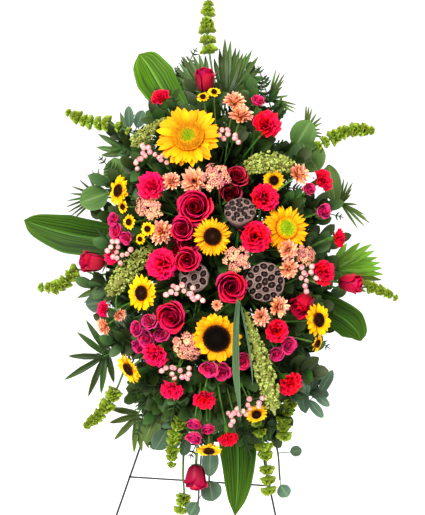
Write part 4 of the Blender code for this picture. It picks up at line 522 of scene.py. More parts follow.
def petals(control, angle, shape, rows=8, cols=5, width=None, spread=None, spiral=0.0, cup=0.0, fold=0.0,
           crease=0.0, ruffle=0.0, waves=3.0, jag=0.0, rounding=0.0, phase=0.0, roll=0.0, curl=0.0):
    """Petals round +Z. control gives each one's (radius, height) from base to tip, angle its place round.

    A petal lies flat across its width, or with spread it wraps round the axis by that angle each way.
    """
    angle = np.asarray(angle, float)
    t, s = np.linspace(0, 1, rows), np.linspace(-1, 1, cols)
    reach = 1 - rounding * np.abs(s)**2.2 - jag * np.abs(np.sin(s * math.pi * 4.5))
    tt = t[:, None] * reach[None, :]
    control = np.broadcast_to(control, (len(angle), *np.shape(control)[-2:]))
    here = bezier(control, tt.ravel()).reshape(len(angle), rows, cols, 2)
    ahead = bezier(control, tt.ravel() + 0.01).reshape(len(angle), rows, cols, 2) - here
    ahead = unit(ahead + 1e-9)
    share = outline(shape, t)[None, :, None]
    column = lambda value: np.reshape(np.broadcast_to(value, len(angle)), (-1, 1, 1))
    s = s[None, None, :]
    scale = column(width) if width is not None else column(spread) * here[:, -1:, cols // 2:cols // 2 + 1, 0]
    lift = column(cup) * s**2 + column(fold) * np.abs(s) + column(crease) * np.cos(3 * math.pi * s)
    lift = lift + column(ruffle) * t[None, :, None]**2 * np.sin(column(waves) * math.pi * s + column(phase))
    lift = lift + column(roll) * s - column(curl) * np.abs(s)**3 * t[None, :, None]**3
    lift = lift * scale * share / 2
    radius = here[..., 0] - ahead[..., 1] * lift
    height = here[..., 1] + ahead[..., 0] * lift
    turn = column(angle)
    if spread is not None:
        turn = turn + s * column(spread) * share
        radius = radius * (1 + column(spiral) * s)
        return polar(radius, turn, height)
    side = s * scale * share / 2
    return np.stack([radius * np.cos(turn) - side * np.sin(turn), radius * np.sin(turn) + side * np.cos(turn),
                     height], -1)


def add_petals(piece, place, turn, size, look, **settings):
    """Petals at a bloom's place, each with its own tone."""
    points = petals(**settings)
    piece.sheet(put(points, place, turn, size), piece.tones(len(points)), look)


def petal_row(rand, count, row, stray):
    """Angles for one of several rows of petals, which stand in each other's gaps and stray a little."""
    return (np.arange(count) + row * 0.5 + rand.uniform(-stray, stray, count)) * 2 * math.pi / count


def revolve(profile, cols=16):
    """A round surface through (radius, height) rows."""
    profile = np.asarray(profile, float)
    return polar(profile[:, :1], ring(cols), profile[:, 1:])


def add_round(piece, profile, cols, place, turn, size, look, marks=None):
    """A round surface at a bloom's place."""
    piece.grid(put(revolve(profile, cols), place, turn, size), marks, look, wrap=True)


def smooth_line(points, first=None, last=None, steps=6):
    """A Catmull-Rom curve through points, leaving along first and arriving along last."""
    points = np.asarray(points, float)
    first = points[1] - points[0] if first is None else first
    last = points[-1] - points[-2] if last is None else last
    before = points[0] - unit(first) * np.linalg.norm(points[1] - points[0])
    after = points[-1] + unit(last) * np.linalg.norm(points[-1] - points[-2])
    p = np.vstack([before, points, after])
    found = []
    for a, b, c, d in zip(p[:-3], p[1:-2], p[2:-1], p[3:]):
        for t in np.arange(steps) / steps:
            found.append(0.5 * (2 * b + (c - a) * t + (2 * a - 5 * b + 4 * c - d) * t**2
                                + (3 * b - a - 3 * c + d) * t**3))
    return np.array([*found, points[-1]])


def directions(line):
    """The way that a line runs at each of its points."""
    return unit(np.gradient(line, axis=0))


def tube(line, radius, sides=8):
    """A round tube's grid along a line. radius is one number or one for each point."""
    ways = directions(line)
    radius = np.broadcast_to(radius, len(line))
    hint = X_AXIS
    rings = []
    angle = ring(sides)
    for point, way, r in zip(line, ways, radius):
        turn = basis(way, hint)
        hint = turn[:, 0]
        rings.append(point + r * (np.cos(angle)[:, None] * turn[:, 0] + np.sin(angle)[:, None] * turn[:, 1]))
    return np.array(rings)


def add_tube(piece, line, radius, look, sides=8, tone=0.5):
    """A tube along a line, closed at each end by a ring a hundredth as wide."""
    rings = tube(line, radius, sides)
    first, last = (end.mean(1, keepdims=True) + (end - end.mean(1, keepdims=True)) * 0.01
                   for end in (rings[:1], rings[-1:]))
    rings = np.concatenate([first, rings, last])
    length = np.linspace(0, 1, len(rings))[:, None]
    piece.grid(rings, (length, np.linspace(-1, 1, sides)[None, :], tone), look, wrap=True)


def blade(line, width, face, shape, cols=7, fold=0.0, waves=0.0, ripple=0.0, phase=0.0, sag=0.0):
    """A leaf's grid along a line: its edges rise by fold and ripple, and face is where its front looks."""
    ways = directions(line)
    side = unit(np.cross(face, ways))
    top = np.cross(ways, side)
    t, s = np.linspace(0, 1, len(line)), np.linspace(-1, 1, cols)
    half = outline(shape, t)[:, None] * width / 2
    wave = np.sin(waves * math.pi * t[:, None] + phase + s[None, :])
    lift = fold * np.abs(s)[None, :] + ripple * np.abs(s)[None, :]**2 * wave
    lift = lift * half - sag * s[None, :]**2 * half
    across = side[:, None, :] * (s[None, :] * half)[..., None]
    return line[:, None, :] + across + top[:, None, :] * lift[..., None]


class Solid:
    """A CAD node's welded corners and edges, which say where its stems run."""

    def __init__(self, name):
        mesh = frame["nodes"][name].data
        points = np.empty(len(mesh.vertices) * 3, np.float32)
        mesh.vertices.foreach_get("co", points)
        self.points, index = np.unique(np.round(points.reshape(-1, 3).astype(float), 6), axis=0,
                                       return_inverse=True)
        index = index.ravel()
        edges = np.empty(len(mesh.edges) * 2, np.int32)
        mesh.edges.foreach_get("vertices", edges)
        self.links = {k: set() for k in range(len(self.points))}
        for a, b in index[edges].reshape(-1, 2):
            if a != b:
                self.links[a].add(int(b))
                self.links[b].add(int(a))

    def gap(self, place):
        """The distance from a place to the nearest corner."""
        return np.linalg.norm(self.points - place, axis=1).min()

    def lead(self, end, way, fork):
        """The stem's middle line from fork to end, where it arrives along way."""
        line = [end]
        corners = set(np.argsort(np.linalg.norm(self.points - end, axis=1))[:3].tolist())
        passed = set(corners)
        for _ in range(3):
            near = set().union(*(self.links[k] for k in corners)) - passed
            if len(line) == 1:
                near = {k for k in near if (self.points[k] - end).dot(way) < -0.004}
            middle = self.points[list(near)].mean(0) if near else end
            if len(near) != 3 or np.ptp(self.points[list(near)], axis=0).max() > 0.009 \
                    or np.linalg.norm(middle - fork) < 0.012:
                break
            line.insert(0, middle)
            passed |= near
            corners = near
        if len(line) == 1:
            far = np.linalg.norm(end - fork)
            line = [fork + (end - fork) * 0.5 - way * far * 0.08, end]
        return [fork, *line]


Root = namedtuple("Root", "place out")


def root_slots():
    """Every place where a stem may enter the foam."""
    slots = []
    for out in (ROW_BACK, ROW_FRONT):
        for side in (-1, 1):
            for k in range(SIDE_SLOTS):
                up = FOAM_BOTTOM + SIDE_START + SLOT_PITCH * k
                slots.append(Root(frame_point(side * FOAM_HALF_WIDTH, up, out), side * X_AXIS))
        for x in SLOT_COLUMNS:
            slots.append(Root(frame_point(x, FOAM_TOP, out), FRAME_UP))
            slots.append(Root(frame_point(x, FOAM_BOTTOM, out), -FRAME_UP))
    for x in SLOT_COLUMNS:
        for k in range(FACE_SLOTS):
            up = FOAM_BOTTOM + FACE_START + SLOT_PITCH * k
            slots.append(Root(frame_point(x, up, FOAM_FRONT), FRAME_OUT))
    return slots


def find_root(solid):
    """The slot in which this solid's stem stands."""
    def misfit(root):
        far = np.linalg.norm(solid.points - (root.place - root.out * PEG_DEPTH), axis=1)
        return np.sort(np.abs(far - PEG_RADIUS))[:3].sum()
    return min(root_slots(), key=misfit)


def grow_stems(piece, solid, ends, radius):
    """Smooth stems from this solid's root in the foam to each end, given with the way it arrives."""
    root, lines = find_root(solid), []
    drop = (PEG_RISE - 0.003) / len(ends)
    start = root.place - root.out * PEG_DEPTH
    add_tube(piece, np.array([start, root.place, root.place + root.out * PEG_RISE * 0.7,
                              root.place + root.out * PEG_RISE]),
             [PEG_RADIUS, PEG_RADIUS, PEG_RADIUS * 0.9, radius * 1.1], STEM, 10)
    for k, (end, way) in enumerate(ends):
        fork = root.place + root.out * (PEG_RISE - drop * k)
        line = smooth_line(solid.lead(end, way, fork), root.out + unit(end - fork), way)
        add_tube(piece, line, radius * np.linspace(1.1, 1.0, len(line)), STEM, tone=piece.random.random())
        lines.append(line)
    return lines


def dress(name, plan, slot, looks, stem_radius, draw):
    """A node's plants. draw adds their leaves or berries, and says where and how their stems end."""
    piece = Piece(name + "_dressed", [name], slot, looks)
    grow_stems(piece, Solid(name), draw(piece, plan), stem_radius)
    piece.finish()


class Look:
    """A material's nodes, built up round its Principled shader."""

    def __init__(self, name, **sockets):
        self.material = bpy.data.materials.new(name)
        self.material.use_nodes = True
        self.tree = self.material.node_tree
        self.shader = self.tree.nodes["Principled BSDF"]
        for socket, value in sockets.items():
            self.shader.inputs[socket.replace("_", " ")].default_value = value

    def node(self, kind, inputs, output=0, **settings):
        """A shader node with values or links on its inputs: the socket of its output."""
        made = self.tree.nodes.new("ShaderNode" + kind)
        for key, value in settings.items():
            setattr(made, key, value)
        for key, value in inputs.items():
            if isinstance(value, bpy.types.NodeSocket):
                self.tree.links.new(value, made.inputs[key])
            elif value is not None:
                made.inputs[key].default_value = value
        return made.outputs[output]

    def marks(self):
        """The mesh's marks: along, across and tone."""
        mark = self.node("Attribute", {}, "Vector", attribute_name="mark")
        split = self.tree.nodes.new("ShaderNodeSeparateXYZ")
        self.tree.links.new(mark, split.inputs[0])
        return split.outputs[0], split.outputs[1], split.outputs[2]

    def place(self):
        return self.node("TexCoord", {}, "Object")

    def math(self, operation, a, b=None):
        return self.node("Math", {0: a, 1: b}, operation=operation)

    def vector(self, x, y, z):
        return self.node("CombineXYZ", {0: x, 1: y, 2: z})

    def noise(self, vector, scale, detail=2.0, distortion=0.0):
        return self.node("TexNoise", {"Vector": vector, "Scale": scale, "Detail": detail,
                                      "Distortion": distortion})

    def ramp(self, value, stops):
        made = self.tree.nodes.new("ShaderNodeValToRGB")
        self.tree.links.new(value, made.inputs[0])
        points = made.color_ramp.elements
        while len(points) < len(stops):
            points.new(0.5)
        for point, (place, colour) in zip(points, stops):
            point.position = place
            point.color = (*colour, 1) if len(colour) == 3 else colour
        return made.outputs[0]

    def span(self, value, low, high):
        """A 0 to 1 value carried to low and high."""
        return self.node("MapRange", {0: value, 3: low, 4: high})

    def mix(self, share, a, b, blend="MIX"):
        a = (*a, 1) if isinstance(a, tuple) and len(a) == 3 else a
        b = (*b, 1) if isinstance(b, tuple) and len(b) == 3 else b
        return self.node("Mix", {0: share, 6: a, 7: b}, 2, data_type="RGBA", blend_type=blend)

    def colour(self, value):
        self.tree.links.new(value, self.shader.inputs["Base Color"])

    def rough(self, value):
        self.tree.links.new(value, self.shader.inputs["Roughness"])

    def bump(self, height, strength, distance=0.0006):
        normal = self.node("Bump", {"Strength": strength, "Distance": distance, "Height": height})
        self.tree.links.new(normal, self.shader.inputs["Normal"])


def plant_look(name, stops, streaks=10.0, streak=0.25, tone=0.3, hue=0.02, shift=0.12, rough=0.55, bump=0.35,
               edge=None, edge_share=0.0, fine=260.0, rib=None, **sockets):
    """Petal or leaf: colour runs from base to tip by stops, in streaks, and each petal has its own tone."""
    look = Look(name, **sockets)
    along, across, own = look.marks()
    place = look.place()
    lines = look.noise(look.vector(look.math("MULTIPLY", along, 1.4), look.math("MULTIPLY", across, streaks),
                                   look.math("MULTIPLY", own, 37.0)), 1.0, 3.0)
    cells = look.noise(place, fine, 2.0)
    moved = look.math("ADD", along, look.span(lines, -shift, shift))
    colour = look.ramp(moved, stops)
    if edge:
        rim = look.math("POWER", look.math("ABSOLUTE", across), 5.0)
        colour = look.mix(look.math("MULTIPLY", rim, edge_share), colour, edge)
    if rib:
        middle = look.math("POWER", look.math("SUBTRACT", 1.0, look.math("ABSOLUTE", across)), 14.0)
        colour = look.mix(look.math("MULTIPLY", middle, 0.8), colour, rib)
    shade = look.math("ADD", look.span(lines, -streak, streak), look.span(cells, -0.10, 0.10))
    value = look.math("ADD", look.span(own, 1 - tone / 2, 1 + tone / 2), shade)
    colour = look.node("HueSaturation", {"Color": colour, "Hue": look.span(own, 0.5 - hue, 0.5 + hue),
                                         "Value": value, "Saturation": 1.0, "Fac": 1.0})
    look.colour(colour)
    look.rough(look.span(cells, rough - 0.12, rough + 0.12))
    look.bump(look.math("ADD", look.math("MULTIPLY", lines, 0.8), look.math("MULTIPLY", cells, 0.4)), bump)
    return look.material


def disc_look(name, stops, rough=0.75):
    """Seed disc florets: colour by how far out they stand."""
    look = Look(name, Roughness=rough, Specular_IOR_Level=0.15)
    along, _, own = look.marks()
    cells = look.noise(look.place(), 900.0, 2.0)
    colour = look.ramp(look.math("ADD", along, look.span(own, -0.05, 0.05)), stops)
    value = look.math("ADD", look.span(own, 0.7, 1.3), look.span(cells, -0.2, 0.2))
    look.colour(look.node("HueSaturation", {"Color": colour, "Value": value, "Hue": 0.5, "Saturation": 1.0,
                                            "Fac": 1.0}))
    look.rough(look.span(cells, rough - 0.15, rough + 0.1))
    look.bump(cells, 0.5, 0.0005)
    return look.material


GREEN_STEM = plant_look("stem_green", [(0.0, (0.06, 0.14, 0.02)), (1.0, (0.09, 0.20, 0.03))], 3.0, 0.2)
DARK_STEM = plant_look("stem_dark", [(0.0, (0.02, 0.045, 0.010)), (1.0, (0.04, 0.08, 0.015))], 3.0, 0.2)
SEPAL = plant_look("sepal_green", [(0.0, (0.08, 0.20, 0.02)), (1.0, (0.06, 0.16, 0.015))], 6.0, 0.2)
SUN_PETAL = plant_look("sunflower_petal", [
    (0.0, (0.66, 0.20, 0.001)), (0.25, (0.88, 0.33, 0.001)), (0.7, (0.93, 0.405, 0.001)),
    (1.0, (0.93, 0.41, 0.002))], 9.0, 0.16, 0.22, 0.008, 0.1, 0.6, 0.6, Specular_IOR_Level=0.2)
SMALL_PETAL = plant_look("small_sunflower_petal", [
    (0.0, (0.85, 0.32, 0.001)), (0.4, (1.00, 0.50, 0.002)), (1.0, (1.00, 0.58, 0.004))], 7.0, 0.12, 0.18,
    0.008, 0.12, 0.6, Specular_IOR_Level=0.2)
GREEN_DISC = disc_look("disc_green_florets", [
    (0.0, (0.30, 0.44, 0.01)), (0.36, (0.42, 0.46, 0.012)), (0.50, (0.74, 0.40, 0.012)),
    (0.8, (0.62, 0.26, 0.012)), (1.0, (0.85, 0.38, 0.004))])
LIME_DISC = disc_look("disc_lime_florets", [
    (0.0, (0.30, 0.46, 0.012)), (0.62, (0.46, 0.56, 0.015)), (0.82, (0.78, 0.56, 0.010)),
    (1.0, (0.88, 0.32, 0.006))])
BROWN_DISC = disc_look("disc_brown_florets", [
    (0.0, (0.10, 0.05, 0.015)), (0.30, (0.04, 0.014, 0.006)), (0.8, (0.028, 0.008, 0.004)),
    (1.0, (0.11, 0.03, 0.005))], 0.9)
BLACK_DISC = disc_look("disc_black_florets", [
    (0.0, (0.018, 0.012, 0.006)), (0.6, (0.007, 0.004, 0.003)), (0.88, (0.022, 0.008, 0.004)),
    (1.0, (0.16, 0.05, 0.008))], 0.9)
# The red, crimson and dark red ramps darken to near black towards the petal's base: painted shade deep inside
# the bloom.
ROSE = {
    "red": plant_look("rose_red_petal", [
        (0.0, (0.08, 0.001, 0.010)), (0.55, (0.32, 0.002, 0.032)), (1.0, (0.52, 0.003, 0.070))], 5.0, 0.14,
        0.3, 0.01, 0.08, 0.5, 0.25, (0.66, 0.02, 0.12), 0.3, Specular_IOR_Level=0.35),
    "crimson": plant_look("rose_crimson_petal", [
        (0.0, (0.12, 0.001, 0.014)), (0.55, (0.46, 0.002, 0.042)), (1.0, (0.72, 0.003, 0.080))], 5.0, 0.10,
        0.3, 0.012, 0.08, 0.55, 0.25, (0.80, 0.012, 0.12), 0.25, Specular_IOR_Level=0.3),
    "dark_red": plant_look("rose_dark_petal", [
        (0.0, (0.08, 0.001, 0.008)), (0.6, (0.28, 0.002, 0.020)), (1.0, (0.50, 0.004, 0.038))], 5.0, 0.10,
        0.3, 0.01, 0.08, 0.5, 0.25, (0.58, 0.01, 0.06), 0.3),
    "pink": plant_look("spray_rose_petal", [
        (0.0, (0.60, 0.55, 0.28)), (0.25, (0.70, 0.18, 0.26)), (0.5, (0.50, 0.006, 0.11)),
        (1.0, (0.86, 0.03, 0.22))], 7.0, 0.25, 0.6, 0.015, 0.18, 0.55, 0.25, (0.95, 0.30, 0.48), 0.35,
        Specular_IOR_Level=0.3),
}
# Both ramps darken strongly towards the petal's base: painted shade deep in the bloom.
CARNATION = {
    "scarlet": plant_look("carnation_scarlet_petal", [
        (0.0, (0.26, 0.002, 0.010)), (0.55, (0.70, 0.004, 0.036)), (1.0, (0.92, 0.010, 0.080))], 11.0, 0.14,
        0.3, 0.010, 0.1, 0.65, 0.4, Specular_IOR_Level=0.25),
    "coral": plant_look("carnation_coral_petal", [
        (0.0, (0.28, 0.002, 0.018)), (0.55, (0.74, 0.006, 0.070)), (1.0, (0.96, 0.015, 0.15))], 11.0, 0.14,
        0.3, 0.010, 0.1, 0.65, 0.4, Specular_IOR_Level=0.25),
}
POM = plant_look("pom_petal", [
    (0.0, (0.62, 0.28, 0.02)), (0.3, (0.74, 0.24, 0.08)), (0.6, (0.92, 0.40, 0.22)),
    (1.0, (0.98, 0.64, 0.46))], 6.0, 0.3, 0.4, 0.02, 0.10, 0.65, 0.3, (0.98, 0.72, 0.56), 0.35,
    Specular_IOR_Level=0.2)
YARROW = plant_look("yarrow_floret", [
    (0.0, (0.95, 0.72, 0.38)), (0.35, (0.88, 0.43, 0.31)), (1.0, (0.78, 0.27, 0.22))], 4.0, 0.25, 0.7, 0.05,
    0.25, 0.7, 0.3, Specular_IOR_Level=0.2)
BERRY = plant_look("berry_skin", [
    (0.0, (0.86, 0.50, 0.40)), (0.6, (0.90, 0.46, 0.44)), (0.88, (0.82, 0.28, 0.30)),
    (1.0, (0.45, 0.06, 0.06))], 3.0, 0.08, 0.3, 0.015, 0.05, 0.22, 0.1, Coat_Weight=0.35, Coat_Roughness=0.1)
# The pod's ramp runs from near black to pale brown: the marks put the dark end in the pits and under the
# funnel as painted shade, and the pale end on the raised pit rims as painted highlight.
POD = plant_look("lotus_pod_wood", [
    (0.0, (0.020, 0.011, 0.009)), (0.35, (0.070, 0.042, 0.035)), (0.6, (0.130, 0.078, 0.068)),
    (1.0, (0.34, 0.23, 0.20))], 26.0, 0.40, 0.2, 0.015, 0.12, 0.6, 1.0, fine=420.0)
POD_PIT = plant_look("lotus_seed", [
    (0.0, (0.02, 0.014, 0.010)), (1.0, (0.06, 0.036, 0.028))], 4.0, 0.2, rough=0.4)
BELL = plant_look("bell_cup", [
    (0.0, (0.10, 0.19, 0.010)), (0.6, (0.22, 0.32, 0.020)), (1.0, (0.37, 0.46, 0.06))], 12.0, 0.2, 0.4, 0.012,
    0.1, 0.5, 0.5, Specular_IOR_Level=0.3)
BELL_HEART = plant_look("bell_heart", [(0.0, (0.45, 0.55, 0.18)), (1.0, (0.62, 0.66, 0.35))], 4.0, 0.1)
TASSEL = plant_look("amaranth_floret", [
    (0.0, (0.27, 0.32, 0.05)), (1.0, (0.50, 0.54, 0.17))], 3.0, 0.2, 0.7, 0.02, 0.2, 0.7, 0.6,
    Specular_IOR_Level=0.2)
LEAF = {
    # The aspidistra looks' strong light streaks are partly the leaf's own veining and partly painted
    # highlight along its ridges.
    "aspidistra": plant_look("aspidistra_leaf", [
        (0.0, (0.012, 0.042, 0.002)), (0.5, (0.030, 0.080, 0.003)), (1.0, (0.050, 0.112, 0.005))], 15.0, 1.7,
        0.2, 0.012, 0.1, 0.5, 0.9, rib=(0.09, 0.22, 0.03), Specular_IOR_Level=0.14),
    # The painted-lit looks below are lighter copies of the leaf looks: painted light for leaves that catch
    # more of it.
    "aspidistra_bright": plant_look("aspidistra_leaf_bright", [
        (0.0, (0.026, 0.090, 0.003)), (0.5, (0.060, 0.150, 0.005)), (1.0, (0.088, 0.185, 0.009))], 15.0, 1.7,
        0.2, 0.012, 0.1, 0.5, 0.9, rib=(0.16, 0.32, 0.05), Specular_IOR_Level=0.14),
    "xanadu_bright": plant_look("xanadu_leaf_bright", [
        (0.0, (0.034, 0.085, 0.003)), (0.5, (0.088, 0.17, 0.007)), (1.0, (0.15, 0.30, 0.015))], 9.0, 1.6, 0.8,
        0.015, 0.1, 0.4, 0.9, rib=(0.22, 0.38, 0.06), Specular_IOR_Level=0.3),
    "palm_bright": plant_look("palm_leaflet_bright", [
        (0.0, (0.042, 0.088, 0.010)), (1.0, (0.120, 0.18, 0.03))], 9.0, 1.0, 0.8, 0.02, 0.1, 0.45, 0.6,
        (0.30, 0.30, 0.16), 0.4, Specular_IOR_Level=0.25),
    "xanadu": plant_look("xanadu_leaf", [
        (0.0, (0.022, 0.056, 0.008)), (1.0, (0.078, 0.134, 0.022))], 9.0, 1.2, 0.6, 0.015, 0.1, 0.4, 0.8,
        rib=(0.09, 0.20, 0.03), Specular_IOR_Level=0.3),
    "palm": plant_look("palm_leaflet", [
        (0.0, (0.016, 0.042, 0.004)), (1.0, (0.048, 0.094, 0.011))], 9.0, 1.0, 0.7, 0.015, 0.1, 0.45, 0.6,
        Specular_IOR_Level=0.25),
    "fern": plant_look("fern_leaflet", [
        (0.0, (0.009, 0.026, 0.004)), (1.0, (0.042, 0.085, 0.014))], 6.0, 0.25, 0.9, 0.02, 0.1, 0.6, 0.5,
        rib=(0.045, 0.10, 0.012), Specular_IOR_Level=0.25),
    "salal": plant_look("filling_leaf", [
        (0.0, (0.015, 0.040, 0.007)), (1.0, (0.066, 0.115, 0.026))], 6.0, 0.3, 0.9, 0.03, 0.1, 0.5, 0.5,
        Specular_IOR_Level=0.3),
    "eucalyptus": plant_look("eucalyptus_leaf", [
        (0.0, (0.055, 0.110, 0.062)), (1.0, (0.095, 0.165, 0.100))], 5.0, 0.4, 0.5, 0.02, 0.2, 0.7, 0.3,
        (0.20, 0.25, 0.17), 0.4, rib=(0.22, 0.27, 0.16), Specular_IOR_Level=0.3),
    "eucalyptus_olive": plant_look("eucalyptus_leaf_olive", [
        (0.0, (0.055, 0.11, 0.02)), (1.0, (0.10, 0.17, 0.04))], 5.0, 0.4, 0.6, 0.02, 0.2, 0.65, 0.3,
        (0.16, 0.22, 0.08), 0.4, rib=(0.20, 0.27, 0.09), Specular_IOR_Level=0.3),
    "grass": plant_look("lily_grass_blade", [
        (0.0, (0.030, 0.075, 0.020)), (0.5, (0.065, 0.13, 0.045)), (1.0, (0.10, 0.17, 0.07))], 16.0, 1.9, 0.1,
        0.01, 0.1, 0.5, 0.6),
}


def plain_look(name, dark, light, rough, grain, bump, scale=300.0, **sockets):
    """A moulded, painted or foamed surface: mottled by noise at two scales."""
    look = Look(name, **sockets)
    place = look.place()
    coarse, cells = look.noise(place, grain, 3.0), look.noise(place, scale, 3.0)
    look.colour(look.ramp(look.math("ADD", look.math("MULTIPLY", coarse, 0.6),
                                    look.math("MULTIPLY", cells, 0.4)),
                          [(0.3, dark), (0.7, light)]))
    look.rough(look.span(cells, rough - 0.15, rough + 0.15))
    look.bump(cells, bump, 0.0004)
    return look.material


WIRE = plain_look("wire_paint", (0.006, 0.006, 0.007), (0.020, 0.020, 0.022), 0.38, 40.0, 0.15, 700.0,
                  Metallic=0.0, Coat_Weight=0.2, Coat_Roughness=0.25)
HOLDER = plain_look("holder_plastic", (0.010, 0.075, 0.028), (0.018, 0.11, 0.045), 0.5, 30.0, 0.2, 500.0)
FOAM = plain_look("wet_foam_cells", (0.012, 0.07, 0.022), (0.04, 0.15, 0.055), 0.9, 60.0, 0.9, 900.0)

# Large sunflowers: how far their petals lie before the middle, and the radius of each seed disc.
SUNFLOWER_LEVEL = 0.006
DISC_RADIUS = {"sunflower_top": 0.031, "sunflower_right": 0.022, "sunflower_centre": 0.018,
               "sunflower_lower": 0.027}
# How far behind its middle a bloom's stem ends, as a share of its diameter plus a length.
STEM_END = {"sunflower": (0, 0.014), "small_sunflower": (0, 0.010), "mini_sunflower": (0, 0.006),
            "pom": (0.28, 0), "yarrow": (0.30, 0), "lotus": (0, 0.044), "rose": (0.46, 0),
            "rose_bud": (0.62, 0), "spray_rose": (0.48, 0), "carnation": (0.68, 0)}
STEM_RADIUS = {"sunflower": 0.0030, "small_sunflower": 0.0022, "mini_sunflower": 0.0016, "pom": 0.0018,
               "yarrow": 0.0020, "lotus": 0.0030, "rose": 0.0026, "rose_bud": 0.0026, "spray_rose": 0.0018,
               "carnation": 0.0021}
# How far the solid's front stands before a bloom's middle, as a share of its diameter.
FRONT = {"rose": 0.12, "rose_bud": 0.34, "spray_rose": 0.28, "carnation": 0.26, "pom": 0.26, "yarrow": 0.15}
# How much fuller than its solid a bloom is drawn, as its petals open past the solid's edge.
FULLER = {"rose": 1.08, "rose_bud": 1.05, "spray_rose": 1.12, "carnation": 1.10, "pom": 1.12, "yarrow": 1.20,
          "small_sunflower": 1.08, "mini_sunflower": 1.08}
# Petal outlines: how wide they are at each share of their length.
RIM = [(0, 0.5), (0.35, 0.9), (0.7, 1.0), (1, 0.82)]


def bloom_turn(bloom, number):
    """How a bloom faces, spun so that each of its group shows another side."""
    spin = number * PETAL_TURN
    return basis(facing(bloom.right, bloom.up), VIEW_RIGHT * math.cos(spin) + VIEW_TOP * math.sin(spin))


def find_head(solid, kind, bloom, turn, disc=0.0):
    """A bloom's middle. The solids were moved back clear of each other in steps: this finds the step."""
    size = bloom.size / 1000
    front = np.array([0, 0, 0.10 * size if kind == "rose" and size < 0.055 else FRONT.get(kind, 0) * size])
    if kind in ("small_sunflower", "mini_sunflower"):
        front[2] = 0.008
    elif kind == "sunflower":
        front[2] = SUNFLOWER_LEVEL + 0.0003 + 0.7 * 0.28 * (disc - 0.001)
    elif kind == "lotus":
        front = np.array([0.95 * size / 2, 0, 0.004])
    places = [seen(bloom.u, bloom.v, dome(bloom.u, bloom.v) - bloom.back / 1000 - SET_BACK * k)
              for k in range(SET_BACK_STEPS)]
    return min(places, key=lambda place: solid.gap(place + turn @ front))


# How far from its middle a seed disc is highest.
DISC_CREST = 0.62


def phyllotaxis(count, spread=0.5):
    """The places of florets in a disc of radius 1, as radius and angle."""
    k = np.arange(count) + 0.5
    return (k / count)**spread, k * GOLDEN_TURN


def add_disc(piece, place, turn, radius, rim, middle, top, count, look):
    """A seed disc of florets: a low dome whose middle is a little sunk."""
    def level(far):
        sunk = np.where(far < DISC_CREST, middle, 1.0)
        return rim + (top - rim) * (1 - (np.abs(far - DISC_CREST) / DISC_CREST)**2.2 * sunk)
    far, angle = phyllotaxis(count)
    places = polar(radius * far, angle, level(far))
    slope = np.clip((far - DISC_CREST) * 2.2, -0.5, 1.1)[:, None]
    axes = unit(np.hstack([places[:, :2] / (radius * far[:, None] + 1e-9) * slope, np.ones((count, 1))]))
    floret = revolve([(0.54, -0.9), (0.50, 0.25), (0.10, 0.75)], 5)
    sizes = radius * 1.75 / math.sqrt(count) * np.where(far < 0.45, 0.85, 1.05)
    sizes = sizes * piece.random.uniform(0.85, 1.15, count)
    copies = scatter(floret, places, turns_along(axes, piece.random.uniform(0, 6.3, count)), sizes)
    piece.grid(put(copies, place, turn), (far[:, None, None], 0.0, piece.tones(count)), look, wrap=True)
    steps = np.linspace(0, 1, 14)
    skin = np.stack([radius * np.maximum(steps, 0.002), level(steps) - radius * 0.03], -1)
    add_round(piece, skin, 32, place, turn, 1.0, look, (steps[:, None], 0.0, 0.1))
    skirt = [(radius, rim - radius * 0.03), (radius * 0.97, rim - 0.004)]
    add_round(piece, skirt, 32, place, turn, 1.0, look, (1.0, 0.0, 0.1))


SUN_RAY = [(0, 0.42), (0.2, 0.74), (0.5, 1.0), (0.75, 0.78), (0.92, 0.34), (1, 0.02)]
SEPAL_SHAPE = [(0, 0.8), (0.25, 1.0), (0.6, 0.6), (1, 0.02)]


def add_sunflower(piece, place, turn, size, disc):
    """Two rows of pointed ray petals round the disc, with green bracts and a receptacle behind."""
    rand, tip = piece.random, size / 2
    spiky = disc / tip > 0.42 and size < 0.1 and disc < 0.025
    count = 27 if spiky else 23 if size > 0.11 else 17 if size > 0.09 else 14
    for row, (inner, rise) in enumerate(((0.86, 0.20), (0.80, 0.08), (0.72, -0.02))):
        angle = petal_row(rand, count, row, 0.3)
        reach = tip * rand.uniform(0.80 if row else 0.70, 1.0, count)
        length = reach - disc * inner
        base = SUNFLOWER_LEVEL - 0.001 - row * 0.0012
        lift = (rise + rand.uniform(-0.10, 0.12, count)) * length
        droop = rand.uniform(-0.25, 0.15, count) * length * 0.5
        control = np.stack([np.stack([disc * inner + length * a, base + lift * b + droop * c], -1)
                            for a, b, c in ((0, 0, 0), (0.3, 0.7, 0), (0.7, 1.1, 0.2), (1.0, 1.0, 1.0))], 1)
        width = tip * 2 * math.pi / count * (0.62 if spiky else 0.80) * rand.uniform(0.8, 1.15, count)
        add_petals(piece, place, turn, 1.0, 0, control=control, angle=angle, shape=SUN_RAY, rows=10, cols=7,
                   width=width, fold=0.30, crease=0.055, ruffle=0.10, waves=rand.uniform(0.6, 1.4, count),
                   phase=rand.uniform(0, 6, count), roll=rand.uniform(-0.35, 0.35, count))
    count = 18
    angle = petal_row(rand, count, 0, 0.2)
    control = [(disc * 0.5, -0.006), (disc * 1.0, -0.005), (disc * 1.25, 0.001),
               (disc * 0.9 + tip * 0.25, -0.002)]
    add_petals(piece, place, turn, 1.0, 2, control=control, angle=angle, shape=SEPAL_SHAPE, rows=7, cols=5,
               width=disc * 0.5, fold=0.15, roll=rand.uniform(-0.3, 0.3, count))
    cup = [(0.003, -0.0135), (disc * 0.45, -0.010), (disc * 0.85, -0.004), (disc * 0.95, 0.004)]
    add_round(piece, cup, 24, place, turn, 1.0, 2)


